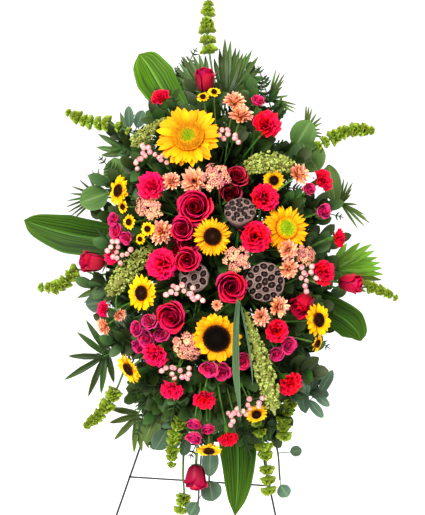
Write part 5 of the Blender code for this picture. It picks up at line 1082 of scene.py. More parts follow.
def add_small_sunflower(piece, place, turn, size):
    """A small sunflower with two rows of rays, or a mini one with a single row."""
    rand, tip = piece.random, size / 2
    mini = size < 0.040
    count = 12 if mini else 16
    for row in range(1 if mini else 2):
        angle = petal_row(rand, count, row, 0.15)
        reach = tip * rand.uniform(0.88, 1.0, count)
        start = tip * 0.30
        lift = rand.uniform(0.02, 0.22, count) * tip - row * tip * 0.10
        control = np.stack([np.stack([start + (reach - start) * a, 0.001 + lift * b], -1)
                            for a, b in ((0, 0), (0.35, 0.8), (0.7, 1.1), (1.0, 0.8))], 1)
        add_petals(piece, place, turn, 1.0, 0, control=control, angle=angle, shape=SUN_RAY, rows=7, cols=7,
                   width=tip * 2 * math.pi / count * 0.82, fold=0.2, crease=0.05, ruffle=0.10, waves=1.0,
                   phase=rand.uniform(0, 6, count), roll=rand.uniform(-0.3, 0.3, count))
    add_disc(piece, place, turn, tip * 0.40, 0.002, 0.25, 0.006 if mini else 0.0075, 80 if mini else 150, 3)
    cup = [(0.002, -0.0055 if mini else -0.0095), (tip * 0.28, -0.004), (tip * 0.36, 0.001)]
    add_round(piece, cup, 14, place, turn, 1.0, 2)
    add_petals(piece, place, turn, 1.0, 2,
               control=[(tip * 0.2, -0.004), (tip * 0.4, -0.004), (tip * 0.62, -0.002)],
               angle=ring(11), shape=SEPAL_SHAPE, rows=5, cols=3, width=tip * 0.3)


# Each rose form: petal curves of radius and height from the innermost to the outermost, for a diameter of 1,
# and how many petals there are.
OPEN_ROSE = [[(0.01, -0.34), (0.09, -0.20), (0.075, 0.04), (0.065, 0.15), (0.045, 0.20)],
             [(0.03, -0.36), (0.20, -0.30), (0.215, 0.00), (0.17, 0.17), (0.235, 0.185)],
             [(0.06, -0.39), (0.36, -0.36), (0.38, -0.05), (0.30, 0.15), (0.41, 0.11)],
             [(0.08, -0.40), (0.46, -0.38), (0.44, -0.10), (0.36, 0.08), (0.53, 0.00)]]
ROSES = {
    "rose": (OPEN_ROSE, 24), "spray_rose": (OPEN_ROSE, 16),
    "rose_bud": ([[(0.01, -0.45), (0.13, -0.22), (0.12, 0.14), (0.10, 0.40), (0.06, 0.54)],
                  [(0.04, -0.48), (0.26, -0.42), (0.29, 0.05), (0.19, 0.44), (0.24, 0.50)],
                  [(0.07, -0.52), (0.38, -0.52), (0.41, 0.02), (0.26, 0.40), (0.36, 0.46)],
                  [(0.10, -0.56), (0.42, -0.60), (0.48, -0.02), (0.30, 0.30), (0.56, 0.34)]], 15),
}


def add_rose(piece, place, turn, size, kind):
    """Wrapped petals that open from the middle outwards, over a calyx of five sepals."""
    forms, count = ROSES[kind]
    rand = piece.random
    if kind == "rose" and size < 0.059:
        count = 19
    share = (np.arange(count) / (count - 1))**0.85
    forms = np.array(forms)
    low = np.minimum((share * 3).astype(int), 2)
    part = (share * 3 - low)[:, None, None]
    control = forms[low] * (1 - part) + forms[low + 1] * part
    control = control * (1 + rand.uniform(-0.03, 0.03, (count, 5, 2)))
    control[:, -1, 0] += rand.uniform(-0.03, 0.03, count) * share
    control[:, -1, 1] += rand.uniform(-0.05, 0.03, count) * share
    spread = np.interp(share, [0, 0.2, 0.5, 1], [1.9, 1.25, 0.85, 0.66])
    small = kind == "spray_rose"
    add_petals(piece, place, turn, size, 0, control=control, rows=9 if small else 12, cols=9 if small else 11,
               angle=np.arange(count) * PETAL_TURN + rand.uniform(-0.25, 0.25, count),
               shape=RIM, spread=spread, spiral=0.05, rounding=0.15, ruffle=0.05 * share,
               waves=rand.uniform(0.8, 1.8, count), phase=rand.uniform(0, 6, count), curl=0.22 + 0.3 * share)
    base, foot = control[-1][0], -STEM_END[kind][0]
    cup = [(0.05, foot), (0.12, foot + 0.04), (0.16, base[1] + 0.02), (0.10, base[1] + 0.08)]
    add_round(piece, cup, 12, place, turn, size, STEM)
    add_petals(piece, place, turn, size, 1, control=[(0.10, base[1] - 0.01), (0.30, base[1] - 0.04),
                                                     (0.44, base[1] + 0.08), (0.50, base[1] + 0.02)],
               angle=np.arange(5) * FIFTH_TURN + 0.4, shape=SEPAL_SHAPE, rows=7, cols=5, width=0.17,
               ruffle=0.3, waves=1.0, phase=rand.uniform(0, 6, 5))


def add_carnation(piece, place, turn, size):
    """A dome of broad fan petals with ruffled, toothed edges over a long green calyx."""
    rand, count = piece.random, 28
    share = ((np.arange(count) + 0.5) / count)**0.62
    lean = share * 1.55
    tip = np.stack([0.50 * np.sin(lean), 0.02 + 0.25 * np.cos(lean) - 0.03 * share], -1)
    tip *= rand.uniform(0.88, 1.03, (count, 1))
    base = np.stack([0.03 + 0.03 * share, np.full(count, -0.26)], -1)
    knee = np.stack([0.04 + 0.20 * share, -0.12 - 0.08 * share], -1)
    shoulder = tip * np.array([0.66, 0.75]) + np.array([0.0, 0.05])
    control = np.stack([base, knee, shoulder, tip], 1)
    add_petals(piece, place, turn, size, 0, control=control,
               angle=np.arange(count) * PETAL_TURN + rand.uniform(-0.3, 0.3, count),
               shape=[(0, 0.12), (0.4, 0.38), (0.75, 0.88), (1, 1.0)], rows=7, cols=15,
               width=0.46 + 0.12 * share, ruffle=rand.uniform(0.20, 0.42, count),
               waves=rand.uniform(1.4, 2.6, count),
               phase=rand.uniform(0, 6, count), rounding=0.26, jag=0.045,
               cup=rand.uniform(-0.35, 0.15, count), roll=rand.uniform(-0.25, 0.25, count))
    calyx = [(0.03, -0.68), (0.085, -0.64), (0.11, -0.50), (0.125, -0.30), (0.14, -0.24)]
    add_round(piece, calyx, 12, place, turn, size, STEM)
    add_petals(piece, place, turn, size, 1, control=[(0.12, -0.30), (0.15, -0.24), (0.19, -0.17)],
               angle=np.arange(6) * SIXTH_TURN, shape=SEPAL_SHAPE, rows=4, cols=3, width=0.13)


def add_pom(piece, place, turn, size):
    """Boat-shaped petals in loose rows that get shorter and steeper towards the middle."""
    rand = piece.random
    rows = ((14, 0.52, -0.03), (12, 0.48, 0.09), (10, 0.38, 0.19), (7, 0.25, 0.25), (4, 0.12, 0.27))
    for row, (count, reach, height) in enumerate(rows):
        angle = petal_row(rand, count, row, 0.28)
        reach = reach * rand.uniform(0.82, 1.04, count)
        height = height + rand.uniform(-0.05, 0.04, count)
        control = np.stack([np.stack([0.05 + 0 * reach, -0.12 + 0 * reach], -1),
                            np.stack([reach * 0.45, height * 0.5 - 0.04], -1),
                            np.stack([reach * 0.85, height - 0.02], -1),
                            np.stack([reach, height + 0.04], -1)], 1)
        add_petals(piece, place, turn, size, 0, control=control, angle=angle,
                   shape=[(0, 0.42), (0.35, 0.8), (0.7, 1.0), (0.9, 0.70), (1, 0.25)], rows=8, cols=5,
                   width=rand.uniform(0.12, 0.16, count), fold=0.0, cup=0.6, rounding=0.05,
                   roll=rand.uniform(-0.3, 0.3, count))
    cup = [(0.04, -0.28), (0.13, -0.22), (0.17, -0.14), (0.12, -0.06)]
    add_round(piece, cup, 12, place, turn, size, STEM)


def add_yarrow(piece, place, turn, size):
    """A dome of clusters of tiny five-petalled florets, each cluster on its own branch."""
    rand, clusters, each = piece.random, 17, 13
    far, angle = phyllotaxis(clusters)
    far, angle = far * 0.40 + rand.uniform(-0.05, 0.04, clusters), angle + rand.uniform(-0.2, 0.2, clusters)
    height = 0.09 - 0.13 * (far / 0.40)**2 + rand.uniform(-0.06, 0.03, clusters)
    middles = polar(far, angle, height)
    fronts = unit(np.stack([far * np.cos(angle) * 1.6, far * np.sin(angle) * 1.6,
                            np.full(clusters, 0.6)], -1))
    near, round_ = phyllotaxis(each)
    places, axes = [], []
    for middle, front in zip(middles, fronts):
        flat = basis(front)
        grow = rand.uniform(0.85, 1.15)
        for r, a in zip(near * 0.115 * grow, round_ + rand.uniform(0, 6.3)):
            spot = np.array([r * math.cos(a), r * math.sin(a),
                             0.055 - r * r * 3.2 + rand.uniform(-0.014, 0.014)])
            places.append(middle + flat @ spot)
            axes.append(flat @ unit(np.array([spot[0] * 5, spot[1] * 5, 1.0]) + rand.uniform(-0.3, 0.3, 3)))
    places, axes, count = np.array(places), np.array(axes), len(places)
    floret = petals([(0.05, 0.0), (0.5, 0.10), (0.95, 0.42)], np.arange(5) * FIFTH_TURN,
                    [(0, 0.4), (0.6, 1.0), (1, 0.6)], 3, 2, width=0.78, rounding=0.1)
    sizes = rand.uniform(0.032, 0.050, count)
    turns = turns_along(axes, rand.uniform(0, 6.3, count))
    copies = scatter(floret, places, turns, sizes)
    tones = np.repeat(np.repeat(rand.random(clusters), each) * 0.6 + rand.random(count) * 0.4, 5)
    tones = tones.reshape(count, 5, 1, 1)
    marks = (np.linspace(0.25, 1, 3)[:, None], np.linspace(-1, 1, 2), tones)
    piece.grid(put(copies, place, turn, size), marks, 0)
    bud = revolve([(0.05, 0.0), (0.34, 0.25), (0.05, 0.50)], 5)
    copies = scatter(bud, places, turns, sizes)
    piece.grid(put(copies, place, turn, size), (0.0, 0.0, piece.tones(count)), 0, wrap=True)
    foot = np.array([0, 0, -0.30])
    for middle, front in zip(middles, fronts):
        line = curve([foot, foot * 0.5 + middle * np.array([0.4, 0.4, 0.1]), middle - front * 0.03], 5)
        add_tube(piece, put(line, place, turn, size), 0.0009, 1, 5, rand.random())
    for spot, middle in zip(places[::3], np.repeat(middles - fronts * 0.03, each, 0)[::3]):
        line = put(np.array([middle, (middle + spot) / 2, spot]), place, turn, size)
        add_tube(piece, line, 0.0005, STEM, 3)


def pit_places(size):
    """Pits of a lotus pod: one in the middle and one, two or three rings, with each pit's radius."""
    rings = ((1, 0.0), (6, 0.38), (12, 0.76)) if size > 0.07 else ((1, 0.0), (8, 0.64)) if size < 0.061 \
        else ((1, 0.0), (5, 0.40), (10, 0.77))
    spots = []
    for row, (count, far) in enumerate(rings):
        for k in range(count):
            turn = 2 * math.pi * (k + 0.3 * row) / count
            spots.append((size / 2 * far * math.cos(turn), size / 2 * far * math.sin(turn)))
    return np.array(spots)


def add_pod(piece, place, turn, size):
    """A funnel with a flat top, pitted where its seeds sit, and a scalloped rim."""
    radius, rand = size / 2, piece.random
    cols, rows = 132, 36
    angle = ring(cols)
    wave = 1 + 0.018 * np.cos(angle * 11 + 1) + 0.010 * np.cos(angle * 7)
    share = np.linspace(0, 1, rows)[:, None]
    far = np.linspace(0.004, 1, rows)[:, None] * radius * 0.97 * (1 + (wave - 1) * share)
    x, y = far * np.cos(angle), far * np.sin(angle)
    spots = pit_places(size)
    spots = spots + rand.uniform(-0.0007, 0.0007, spots.shape)
    pit = (0.0071 if size > 0.07 else 0.0068) * rand.uniform(0.86, 1.06, len(spots))
    lean = rand.uniform(0, math.pi, len(spots))
    dx, dy = x[..., None] - spots[:, 0], y[..., None] - spots[:, 1]
    gap = np.hypot((dx * np.cos(lean) + dy * np.sin(lean)) / 1.12,
                   (dy * np.cos(lean) - dx * np.sin(lean)) / 0.86) / pit
    near = gap.min(-1)
    sink = np.clip((1.0 - near) / 0.22, 0, 1)
    sink = sink * sink * (3 - 2 * sink)
    rim = np.exp(-((near - 1.10) / 0.12)**2)
    edge = np.clip((far / radius - 0.90) / 0.08, 0, 1)
    top = 0.0030 + 0.0011 * rim - 0.0060 * sink - 0.0012 * edge**2
    top = top + 0.0005 * np.cos(angle * 3 + 2) * (far / radius)
    top += rand.uniform(-0.00012, 0.00012, top.shape)
    # Colour mark: dark in the sunk pits as painted shade, lighter on the raised pit rims as painted
    # highlight.
    marks = (0.62 + 0.38 * rim - 0.62 * sink, x / radius, 0.5)
    piece.grid(put(np.stack([x, y, top], -1), place, turn), marks, 0, wrap=True)
    steps = np.linspace(0, 1, 11)[:, None]
    rib = 1 + 0.012 * np.cos(angle * 44) * steps
    side = radius * (0.30 + 0.70 * steps**0.62) * (1 + (wave - 1) * steps) * rib
    height = -0.040 + 0.0425 * steps**1.15
    height = np.broadcast_to(height, side.shape) + 0 * side
    side[-1] = far[-1]
    height[-1] = top[-1]
    # The funnel and its neck darken towards the stem: painted shade under the pod.
    marks = (steps, np.sin(angle * 3)[None, :], 0.3)
    piece.grid(put(polar(side, angle, height), place, turn), marks, 0, wrap=True)
    neck = [(0.0030, -0.046), (0.0045, -0.043), (radius * 0.31, -0.0398)]
    add_round(piece, neck, 24, place, turn, 1.0, 0, (0.1, 0.0, 0.3))
    seed = revolve([(0.02, 0.62), (0.34, 0.52), (0.56, 0.2), (0.60, -0.3)], 10)
    turns = np.broadcast_to(np.eye(3), (len(spots), 3, 3))
    copies = scatter(seed, np.column_stack([spots, np.full(len(spots), -0.0012)]), turns, pit)
    piece.grid(put(copies, place, turn), (0.5, 0.0, piece.tones(len(spots))), 2, wrap=True)


# The looks of each kind of bloom, petals first and its stem's second.
BLOOM_LOOKS = {
    "sunflower": lambda colour: [SUN_PETAL, GREEN_STEM, SEPAL],
    "small_sunflower": lambda colour: [SMALL_PETAL, GREEN_STEM, SEPAL, BROWN_DISC],
    "mini_sunflower": lambda colour: [SMALL_PETAL, GREEN_STEM, SEPAL, BROWN_DISC],
    "rose": lambda colour: [ROSE[colour], SEPAL], "rose_bud": lambda colour: [ROSE[colour], SEPAL],
    "spray_rose": lambda colour: [ROSE[colour], SEPAL],
    "carnation": lambda colour: [CARNATION[colour], SEPAL],
    "pom": lambda colour: [POM, GREEN_STEM], "yarrow": lambda colour: [YARROW, GREEN_STEM],
    "lotus": lambda colour: [POD, GREEN_STEM, POD_PIT],
}
DISCS = {"sunflower_top": (GREEN_DISC, "disc_green"), "sunflower_right": (LIME_DISC, "disc_green"),
         "sunflower_centre": (BROWN_DISC, "disc_brown"), "sunflower_lower": (BLACK_DISC, "disc_brown")}


def add_bloom(piece, kind, place, turn, size, name):
    """One bloom of its kind."""
    if kind == "sunflower":
        add_sunflower(piece, place, turn, size, DISC_RADIUS[name])
    elif kind in ("small_sunflower", "mini_sunflower"):
        add_small_sunflower(piece, place, turn, size)
    elif kind == "carnation":
        add_carnation(piece, place, turn, size)
    elif kind == "pom":
        add_pom(piece, place, turn, size)
    elif kind == "yarrow":
        add_yarrow(piece, place, turn, size)
    elif kind == "lotus":
        add_pod(piece, place, turn, size)
    else:
        add_rose(piece, place, turn, size, kind)


def dress_blooms():
    """Every group of blooms on its stems, and the seed discs of the large sunflowers."""
    for name, group in BLOOMS.items():
        node = name + "_petals" if group.kind == "sunflower" else name
        solid = Solid(node)
        slot = frame["nodes"][node].data.materials[0].name
        piece = Piece(name + "_dressed", [node], slot, BLOOM_LOOKS[group.kind](group.colour))
        share, length = STEM_END[group.kind]
        ends = []
        for number, bloom in enumerate(group.blooms):
            turn, size = bloom_turn(bloom, number), bloom.size / 1000
            front = Solid(name + "_disc") if group.kind == "sunflower" else solid
            place = find_head(front, group.kind, bloom, turn, DISC_RADIUS.get(name, 0.0))
            add_bloom(piece, group.kind, place, turn, size * FULLER.get(group.kind, 1.0), name)
            ends.append((place - turn[:, 2] * (share * size + length), turn[:, 2]))
        grow_stems(piece, solid, ends, STEM_RADIUS[group.kind])
        piece.finish()
        if group.kind == "sunflower":
            look, slot = DISCS[name]
            radius = DISC_RADIUS[name] - 0.001
            seeds = Piece(name + "_seeds", [name + "_disc"], slot, [look])
            add_disc(seeds, place, turn, radius, SUNFLOWER_LEVEL + 0.001, 0.45,
                     SUNFLOWER_LEVEL + radius * 0.34, int(radius * 17000), 0)
            seeds.finish()


def ellipsoid(radius, length, rows=9, cols=10, tip=0.0):
    """A round body along +Z, from its back to a slightly drawn-out tip."""
    t = np.linspace(0, math.pi, rows)
    profile = np.stack([radius * np.sin(t) + 1e-5, -length / 2 * np.cos(t) + tip * (t / math.pi)**6], -1)
    return revolve(profile, cols)


def berry_cluster(pixels, back):
    """A cluster's joint, the way it faces, and its berries' places."""
    berries = [seen(u, v, dome(u, v) - back) for u, v in pixels]
    middle = sum(berries) / len(berries)
    way = unit(unit(middle - frame_point(0, 1.284, 0.05)) + FRAME_OUT)
    return middle - way * 0.032, way, berries


def draw_berries(piece, clusters):
    """Clusters of stalked berries, with two more beside each one, and small leaves."""
    rand, solid, ends = piece.random, Solid(piece.nodes[0]), []
    for sink, pixels in clusters:
        def misfit(k):
            joint, _, berries = berry_cluster(pixels, sink / 1000 + SET_BACK * k)
            return sum(solid.gap(b + unit(b - joint) * BERRY_SIZE * 0.55) for b in berries)
        steps = min(range(SET_BACK_STEPS), key=misfit)
        joint, way, berries = berry_cluster(pixels, sink / 1000 + SET_BACK * steps)
        ends.append((joint + way * 0.002, way))
        across = basis(way, FRAME_UP)
        berries += [berry + across[:, :2] @ (np.array([math.cos(a), math.sin(a)]) * BERRY_SIZE * 0.95)
                    - way * rand.uniform(0.001, 0.007)
                    for berry in berries for a in rand.uniform(0, 6.3, 1) + np.array([0, PETAL_TURN])]
        for berry in berries:
            ahead = unit(berry - joint)
            turn = basis(ahead, FRAME_UP)
            size = BERRY_SIZE * rand.uniform(0.9, 1.12)
            body = ellipsoid(0.46 * size, size * 1.05, 9, 9, 0.0008)
            piece.grid(put(body, berry, turn), (np.linspace(0, 1, 9)[:, None], 0.0, rand.random()), 0,
                       wrap=True)
            add_petals(piece, berry - ahead * size * 0.50, turn, size, 2,
                       control=[(0.08, 0.0), (0.40, -0.02), (0.58, 0.16), (0.55, 0.42)],
                       angle=np.arange(5) * FIFTH_TURN, shape=SEPAL_SHAPE, rows=4, cols=3, width=0.42,
                       cup=0.25)
            line = curve([joint, joint + way * 0.012, berry - ahead * size * 0.9,
                          berry - ahead * size * 0.45], 6)
            add_tube(piece, line, 0.0009, 1, 4, rand.random())
        for k in range(3):
            tip = berries[k % len(berries)] + rand.uniform(-0.012, 0.012, 3)
            line = curve([joint, joint + way * 0.010, tip - FRAME_OUT * 0.010], 8)
            leaf = blade(line, 0.009, FRAME_OUT, [(0, 0.2), (0.5, 1), (1, 0.02)], 5, 0.2)
            piece.sheet(leaf, rand.random(), 2)
    return ends


def read_path(path):
    """A path's points, its widths or radii in metres, and the way it sets out."""
    points = np.array([seen(u, v, out) for u, v, out, _ in path])
    return points, np.array([size for *_, size in path]) / 1000, unit(points[1] - points[0])


def draw_aspidistra(piece, path):
    """A broad leaf, creased along the midrib and rippled at the edges."""
    points, widths, way = read_path(path)
    line = smooth_line(points, steps=11)
    far = np.concatenate([[0], np.cumsum(np.linalg.norm(np.diff(points, axis=0), axis=1))])
    shape = [(x, w / widths.max()) for x, w in zip(far / far[-1], widths)]
    shape[-1] = (1, 0.01)
    shape.insert(-1, ((shape[-2][0] + 1) / 2, shape[-2][1] * 0.66))
    leaf = blade(line, widths.max(), -LOOK, shape, 19, 0.22, 5.0, 0.05, piece.random.uniform(0, 6))
    s = np.linspace(-1, 1, 19)
    leaf += (np.exp(-(s / 0.06)**2) * -0.0012)[None, :, None] * -LOOK
    piece.sheet(leaf, 0.5)
    return [(points[0] - way * 0.004, way)]


# Outlines of a fan's fingers.
FINGER = {"xanadu": [(0, 0.30), (0.2, 0.62), (0.5, 1.0), (0.8, 0.72), (1, 0.04)],
          "palm": [(0, 0.45), (0.25, 0.9), (0.55, 1.0), (0.85, 0.5), (1, 0.02)]}


def fan_frame(hub, tips):
    """A palmate leaf's direction, and where its front looks."""
    away = unit(sum(tips) / len(tips) - hub)
    return away, unit(away * LOOK.dot(away) - LOOK)


def draw_fans(piece, fans):
    """Fans of fingers round a hub: lobed leaves, and palm fronds whose leaflets leave a short rib."""
    name = piece.nodes[0]
    kind = "palm" if name.startswith("palm") else "xanadu"
    rand, ends = piece.random, []
    for fan in fans:
        hub = seen(*fan.hub, fan.out)
        # Fans on the right and at the bottom take the painted-lit copy of the leaf look: painted light where
        # more light falls on them.
        shade = 2 if name.endswith("right") or fan.hub[1] > 400 else 0
        tips = [seen(*tip, fan.out + (0.004 if k % 2 else -0.004)) for k, tip in enumerate(fan.tips)]
        away, normal = fan_frame(hub, tips)
        left = np.cross(normal, away)
        centre = hub + away * 0.008
        tips.sort(key=lambda tip: math.atan2((tip - centre).dot(left), (tip - centre).dot(away)))
        split = 2 if fan.width > 14 or fan.width < 10 else 1
        tips = [centre + (a + (b - a) * k / split - centre) * (rand.uniform(0.96, 1.05) if k else 1.0)
                for a, b in zip(tips[:-1], tips[1:]) for k in range(split)] + [tips[-1]]
        for tip in tips:
            reach = tip - centre
            seat = hub
            if kind == "palm":
                seat = centre + away * max(0.0, reach.dot(away)) * 0.16 - normal * 0.001
                reach = tip - seat
            line = curve([seat, seat + reach * 0.3 + normal * 0.006, seat + reach * 0.7 + normal * 0.005,
                          tip], 16)
            wide = fan.width / 1000 * ((0.95, 0.62) if kind == "palm" else (1.08, 0.84))[split - 1]
            leaf = blade(line, wide, normal, FINGER[kind], 7, 0.28, 6.0, 0.10, rand.uniform(0, 6))
            piece.sheet(leaf, rand.random(), shade)
        if kind == "palm":
            longest = max((tip - centre).dot(away) for tip in tips)
            rib = np.array([hub, centre, centre + away * longest * 0.08, centre + away * longest * 0.16])
            add_tube(piece, rib, np.array([0.0020, 0.0018, 0.0014, 0.0008]), STEM, 7)
        ends.append((hub, away))
    return ends


def nearest(points, place):
    """The nearest point of a polyline to a place."""
    best = None
    for a, b in zip(points[:-1], points[1:]):
        t = max(0.0, min(1.0, (place - a).dot(b - a) / max((b - a).dot(b - a), 1e-12)))
        p = a + (b - a) * t
        if best is None or np.linalg.norm(p - place) < np.linalg.norm(best - place):
            best = p
    return best


ROUND_LEAF = [(0, 0.12), (0.12, 0.62), (0.3, 0.93), (0.5, 1.0), (0.72, 0.9), (0.9, 0.55), (1, 0.05)]
# Eucalyptus leaves that are greener and larger than the others.
OLIVE = {(117, 174), (94, 198), (150, 428), (303, 134), (310, 157), (332, 184)}


def draw_eucalyptus(piece, stems):
    """Stems with round leaves, each on a short stalk."""
    rand, ends = piece.random, []
    for stem in stems:
        points = np.array([seen(*p) for p in stem.path])
        out = sum((p - FEET).dot(FRAME_OUT) for p in points) / len(points) + 0.006
        ends.append((points[0], unit(points[1] - points[0])))
        add_tube(piece, smooth_line(points), 0.0018, STEM, 8)
        for u, v, length, width, angle in stem.parts:
            middle = seen(u, v, out)
            way = VIEW_RIGHT * math.cos(math.radians(angle)) + VIEW_TOP * math.sin(math.radians(angle))
            grow = 1.22 if (u, v) in OLIVE else 1.0
            start, end = middle - way * length * grow / 2000, middle + way * length * grow / 2000
            seat = nearest([*points], start)
            lean = rand.uniform(-0.30, 0.30)
            side = np.cross(-LOOK, way)
            line = curve([start, middle + FRAME_OUT * 0.004, end - FRAME_OUT * 0.001], 14)
            leaf = blade(line, width * grow / 900, unit(-LOOK + side * lean), ROUND_LEAF, 11, 0.10, 3.0, 0.05,
                         rand.uniform(0, 6), -0.04)
            look = 2 if (u, v) in OLIVE else 0
            piece.sheet(leaf, rand.random(), look)
            add_tube(piece, curve([seat, seat + (start - seat) * 0.5 + FRAME_OUT * 0.002,
                                   start + way * 0.002], 6), 0.0009, STEM, 6)
    return ends


def along_line(line, place):
    """The number of a line's point that lies nearest to a place."""
    return int(np.argmin(np.linalg.norm(line - place, axis=1)))


def draw_bells(piece, stems):
    """Whorls of six ruffled cups round each stem, with smaller whorls between them."""
    t, angle = np.linspace(0, 1, 6), ring(15)
    flare = 0.10 + 0.42 * t**1.2
    rim = 1 + 0.13 * np.cos(angle * 5)[None, :] * t[:, None]**3
    bell = polar(flare[:, None] * rim, angle,
                 (t * 0.78)[:, None] + 0.05 * np.cos(angle * 5 + 1)[None, :] * t[:, None]**3)
    heart = ellipsoid(0.14, 0.34, 5, 5)
    rand, ends = piece.random, []
    for stem in stems:
        points = np.array([seen(*p) for p in stem.path])
        ends.append((points[0], unit(points[1] - points[0])))
        line = smooth_line(points, steps=14)
        ways = directions(line)
        seats = []
        for u, v, size in stem.parts:
            k = along_line(line, nearest(points, seen(u, v, stem.path[1][2])))
            seats.append((k, size / 1000))
        seats.sort()
        last = min(seats[-1][0] + 2, len(line) - 1)
        add_tube(piece, line[:last + 1], 0.0020, STEM, 8)
        whorls = []
        for number, (k, size) in enumerate(seats):
            whorls.append((line[k], ways[k], size, number * 0.52))
            if number:
                before, small = seats[number - 1]
                middle = (k + before) // 2
                whorls.append((line[middle], ways[middle], (size + small) * 0.46, number * 0.52 + 0.26))
        for seat, way, size, spin in whorls:
            turn = basis(way, VIEW_RIGHT)
            count = 6
            spins = spin + ring(count) + rand.uniform(-0.15, 0.15, count)
            axes = unit((np.cos(spins)[:, None] * turn[:, 0] + np.sin(spins)[:, None] * turn[:, 1]) * 0.80
                        + way * rand.uniform(0.45, 0.80, (count, 1)))
            places = np.repeat(seat[None], count, 0) - way * size * 0.10
            sizes = size * 0.66 * rand.uniform(0.85, 1.12, count)
            turns = turns_along(axes, rand.uniform(0, 6.3, count))
            tones = piece.tones(count)
            marks = (t[:, None], np.cos(angle * 6)[None, :], tones)
            piece.grid(scatter(bell, places, turns, sizes), marks, 0, wrap=True)
            hearts = scatter(heart, places + axes * (sizes * 0.34)[:, None], turns, sizes)
            piece.grid(hearts, (0.5, 0.0, tones), 2, wrap=True)
        k, size = seats[-1]
        buds = 5
        axes = np.repeat(ways[k][None], buds, 0) + rand.uniform(-0.5, 0.5, (buds, 3))
        turns = turns_along(axes, rand.uniform(0, 6, buds))
        copies = scatter(ellipsoid(0.16, 0.5, 7, 8),
                         np.repeat(line[k][None], buds, 0) + ways[k] * size * 0.22,
                         turns, np.full(buds, size * 0.5))
        piece.grid(copies, (0.6, 0.0, piece.tones(buds)), 0, wrap=True)
    return ends


def draw_amaranth(piece, path):
    """A drooping tassel of bunched florets, thick in the middle."""
    bead = ellipsoid(0.5, 1.35, 4, 5)
    rand = piece.random
    points, radii, way = read_path(path)
    line = smooth_line(points, steps=20)
    line = np.vstack([line, line[-1] + unit(line[-1] - line[-2]) * 0.009])
    far = np.linspace(0, 1, len(line))
    size = np.interp(far, np.linspace(0, 1, len(radii)), radii)
    size[-3:] = [size[-3] * 0.9, size[-3] * 0.6, size[-3] * 0.3]
    ways = directions(line)
    add_tube(piece, line, np.maximum(size * 0.5, 0.002), 0, 10, 0.1)
    lobes, each = int(40 + 420 * np.linalg.norm(line[-1] - line[0])), 9
    pick = np.sort(rand.integers(2, len(line) - 1, lobes))
    angle = np.arange(lobes) * PETAL_TURN
    turns = [basis(w, VIEW_RIGHT) for w in ways]
    outs = np.array([math.cos(a) * turns[k][:, 0] + math.sin(a) * turns[k][:, 1]
                     for a, k in zip(angle, pick)])
    middles = line[pick] + outs * (size[pick] * rand.uniform(0.55, 0.82, lobes))[:, None]
    wide = np.clip(size[pick] * 0.42, 0.0022, 0.0068)
    places = np.repeat(middles, each, 0)
    spread = rand.normal(0, 1, (lobes * each, 3))
    spread = unit(spread + np.repeat(outs, each, 0) * 1.1)
    places = places + spread * np.repeat(wide, each)[:, None] * 0.75
    axes = unit(spread + np.repeat(ways[pick], each, 0) * 0.4)
    sizes = np.repeat(wide, each) * rand.uniform(0.50, 0.75, lobes * each)
    tones = np.repeat(rand.random(lobes), each) * 0.6 + rand.random(lobes * each) * 0.4
    piece.grid(scatter(bead, places, turns_along(axes, np.repeat(angle, each)), sizes),
               (rand.random(lobes * each)[:, None, None], 0.0, tones[:, None, None]), 0, wrap=True)
    leave = unit(way + FRAME_OUT)
    start = points[0] - leave * 0.006
    add_tube(piece, np.array([start, (start + points[0]) / 2, points[0]]), 0.0022, STEM, 8)
    return [(start, leave)]


def draw_grass(piece, blades):
    """Narrow blades that arch out of the foam."""
    ends = []
    for path in blades:
        points, widths, way = read_path(path)
        leave = unit(way + FRAME_OUT)
        line = smooth_line(points, steps=16)
        shape = [(x, w / widths.max()) for x, w in zip(np.linspace(0, 1, len(widths)), widths)]
        leaf = blade(line, widths.max() * 0.85, -LOOK, shape, 9, 0.16, 4.0, 0.1)
        piece.sheet(leaf, 0.5)
        foot = points[0] - leave * 0.008
        ends.append((foot, leave))
        add_tube(piece, np.array([foot, points[0] - leave * 0.003, points[0] + way * 0.003]), 0.0018, STEM, 8)
    return ends


def add_frond(piece, start, end, half_width, arch):
    """A leatherleaf frond: a rib, and pairs of toothed leaflets that shorten towards the tip."""
    rand, rows, pairs = piece.random, 9, 12
    line = curve([start, (start + end) / 2 + FRAME_OUT * arch, end], 18)
    add_tube(piece, line[::2], np.linspace(0.0016, 0.0010, 9), STEM, 4)
    ways = directions(line)
    t, s = np.linspace(0, 1, rows), np.linspace(-1, 1, 3)
    teeth = np.where(np.arange(rows) % 2, 1.0, 0.46)
    shape = list(zip(t, teeth * np.interp(t, [0, 0.25, 1], [0.8, 1.0, 0.2])))
    for k in range(pairs):
        far = 0.06 + 0.92 * k / pairs
        spot, way = line[int(far * 17)], ways[int(far * 17)]
        long = half_width * (1.04 - far)**0.75
        for side in (-1, 1):
            across = unit(np.cross(FRAME_OUT, way)) * side
            out = unit(across + way * 0.45 + FRAME_OUT * rand.uniform(-0.30, 0.15))
            bend = unit(out - FRAME_OUT * 0.25 + way * 0.2)
            leaf = curve([spot, spot + out * long * 0.5 + FRAME_OUT * 0.002, spot + bend * long], rows)
            grid = blade(leaf, long * rand.uniform(0.40, 0.50),
                         unit(FRAME_OUT + rand.uniform(-0.35, 0.35, 3)), shape, 3, 0.25)
            grid += out * (np.abs(s) * long * 0.07)[None, :, None]
            piece.sheet(grid, rand.random())


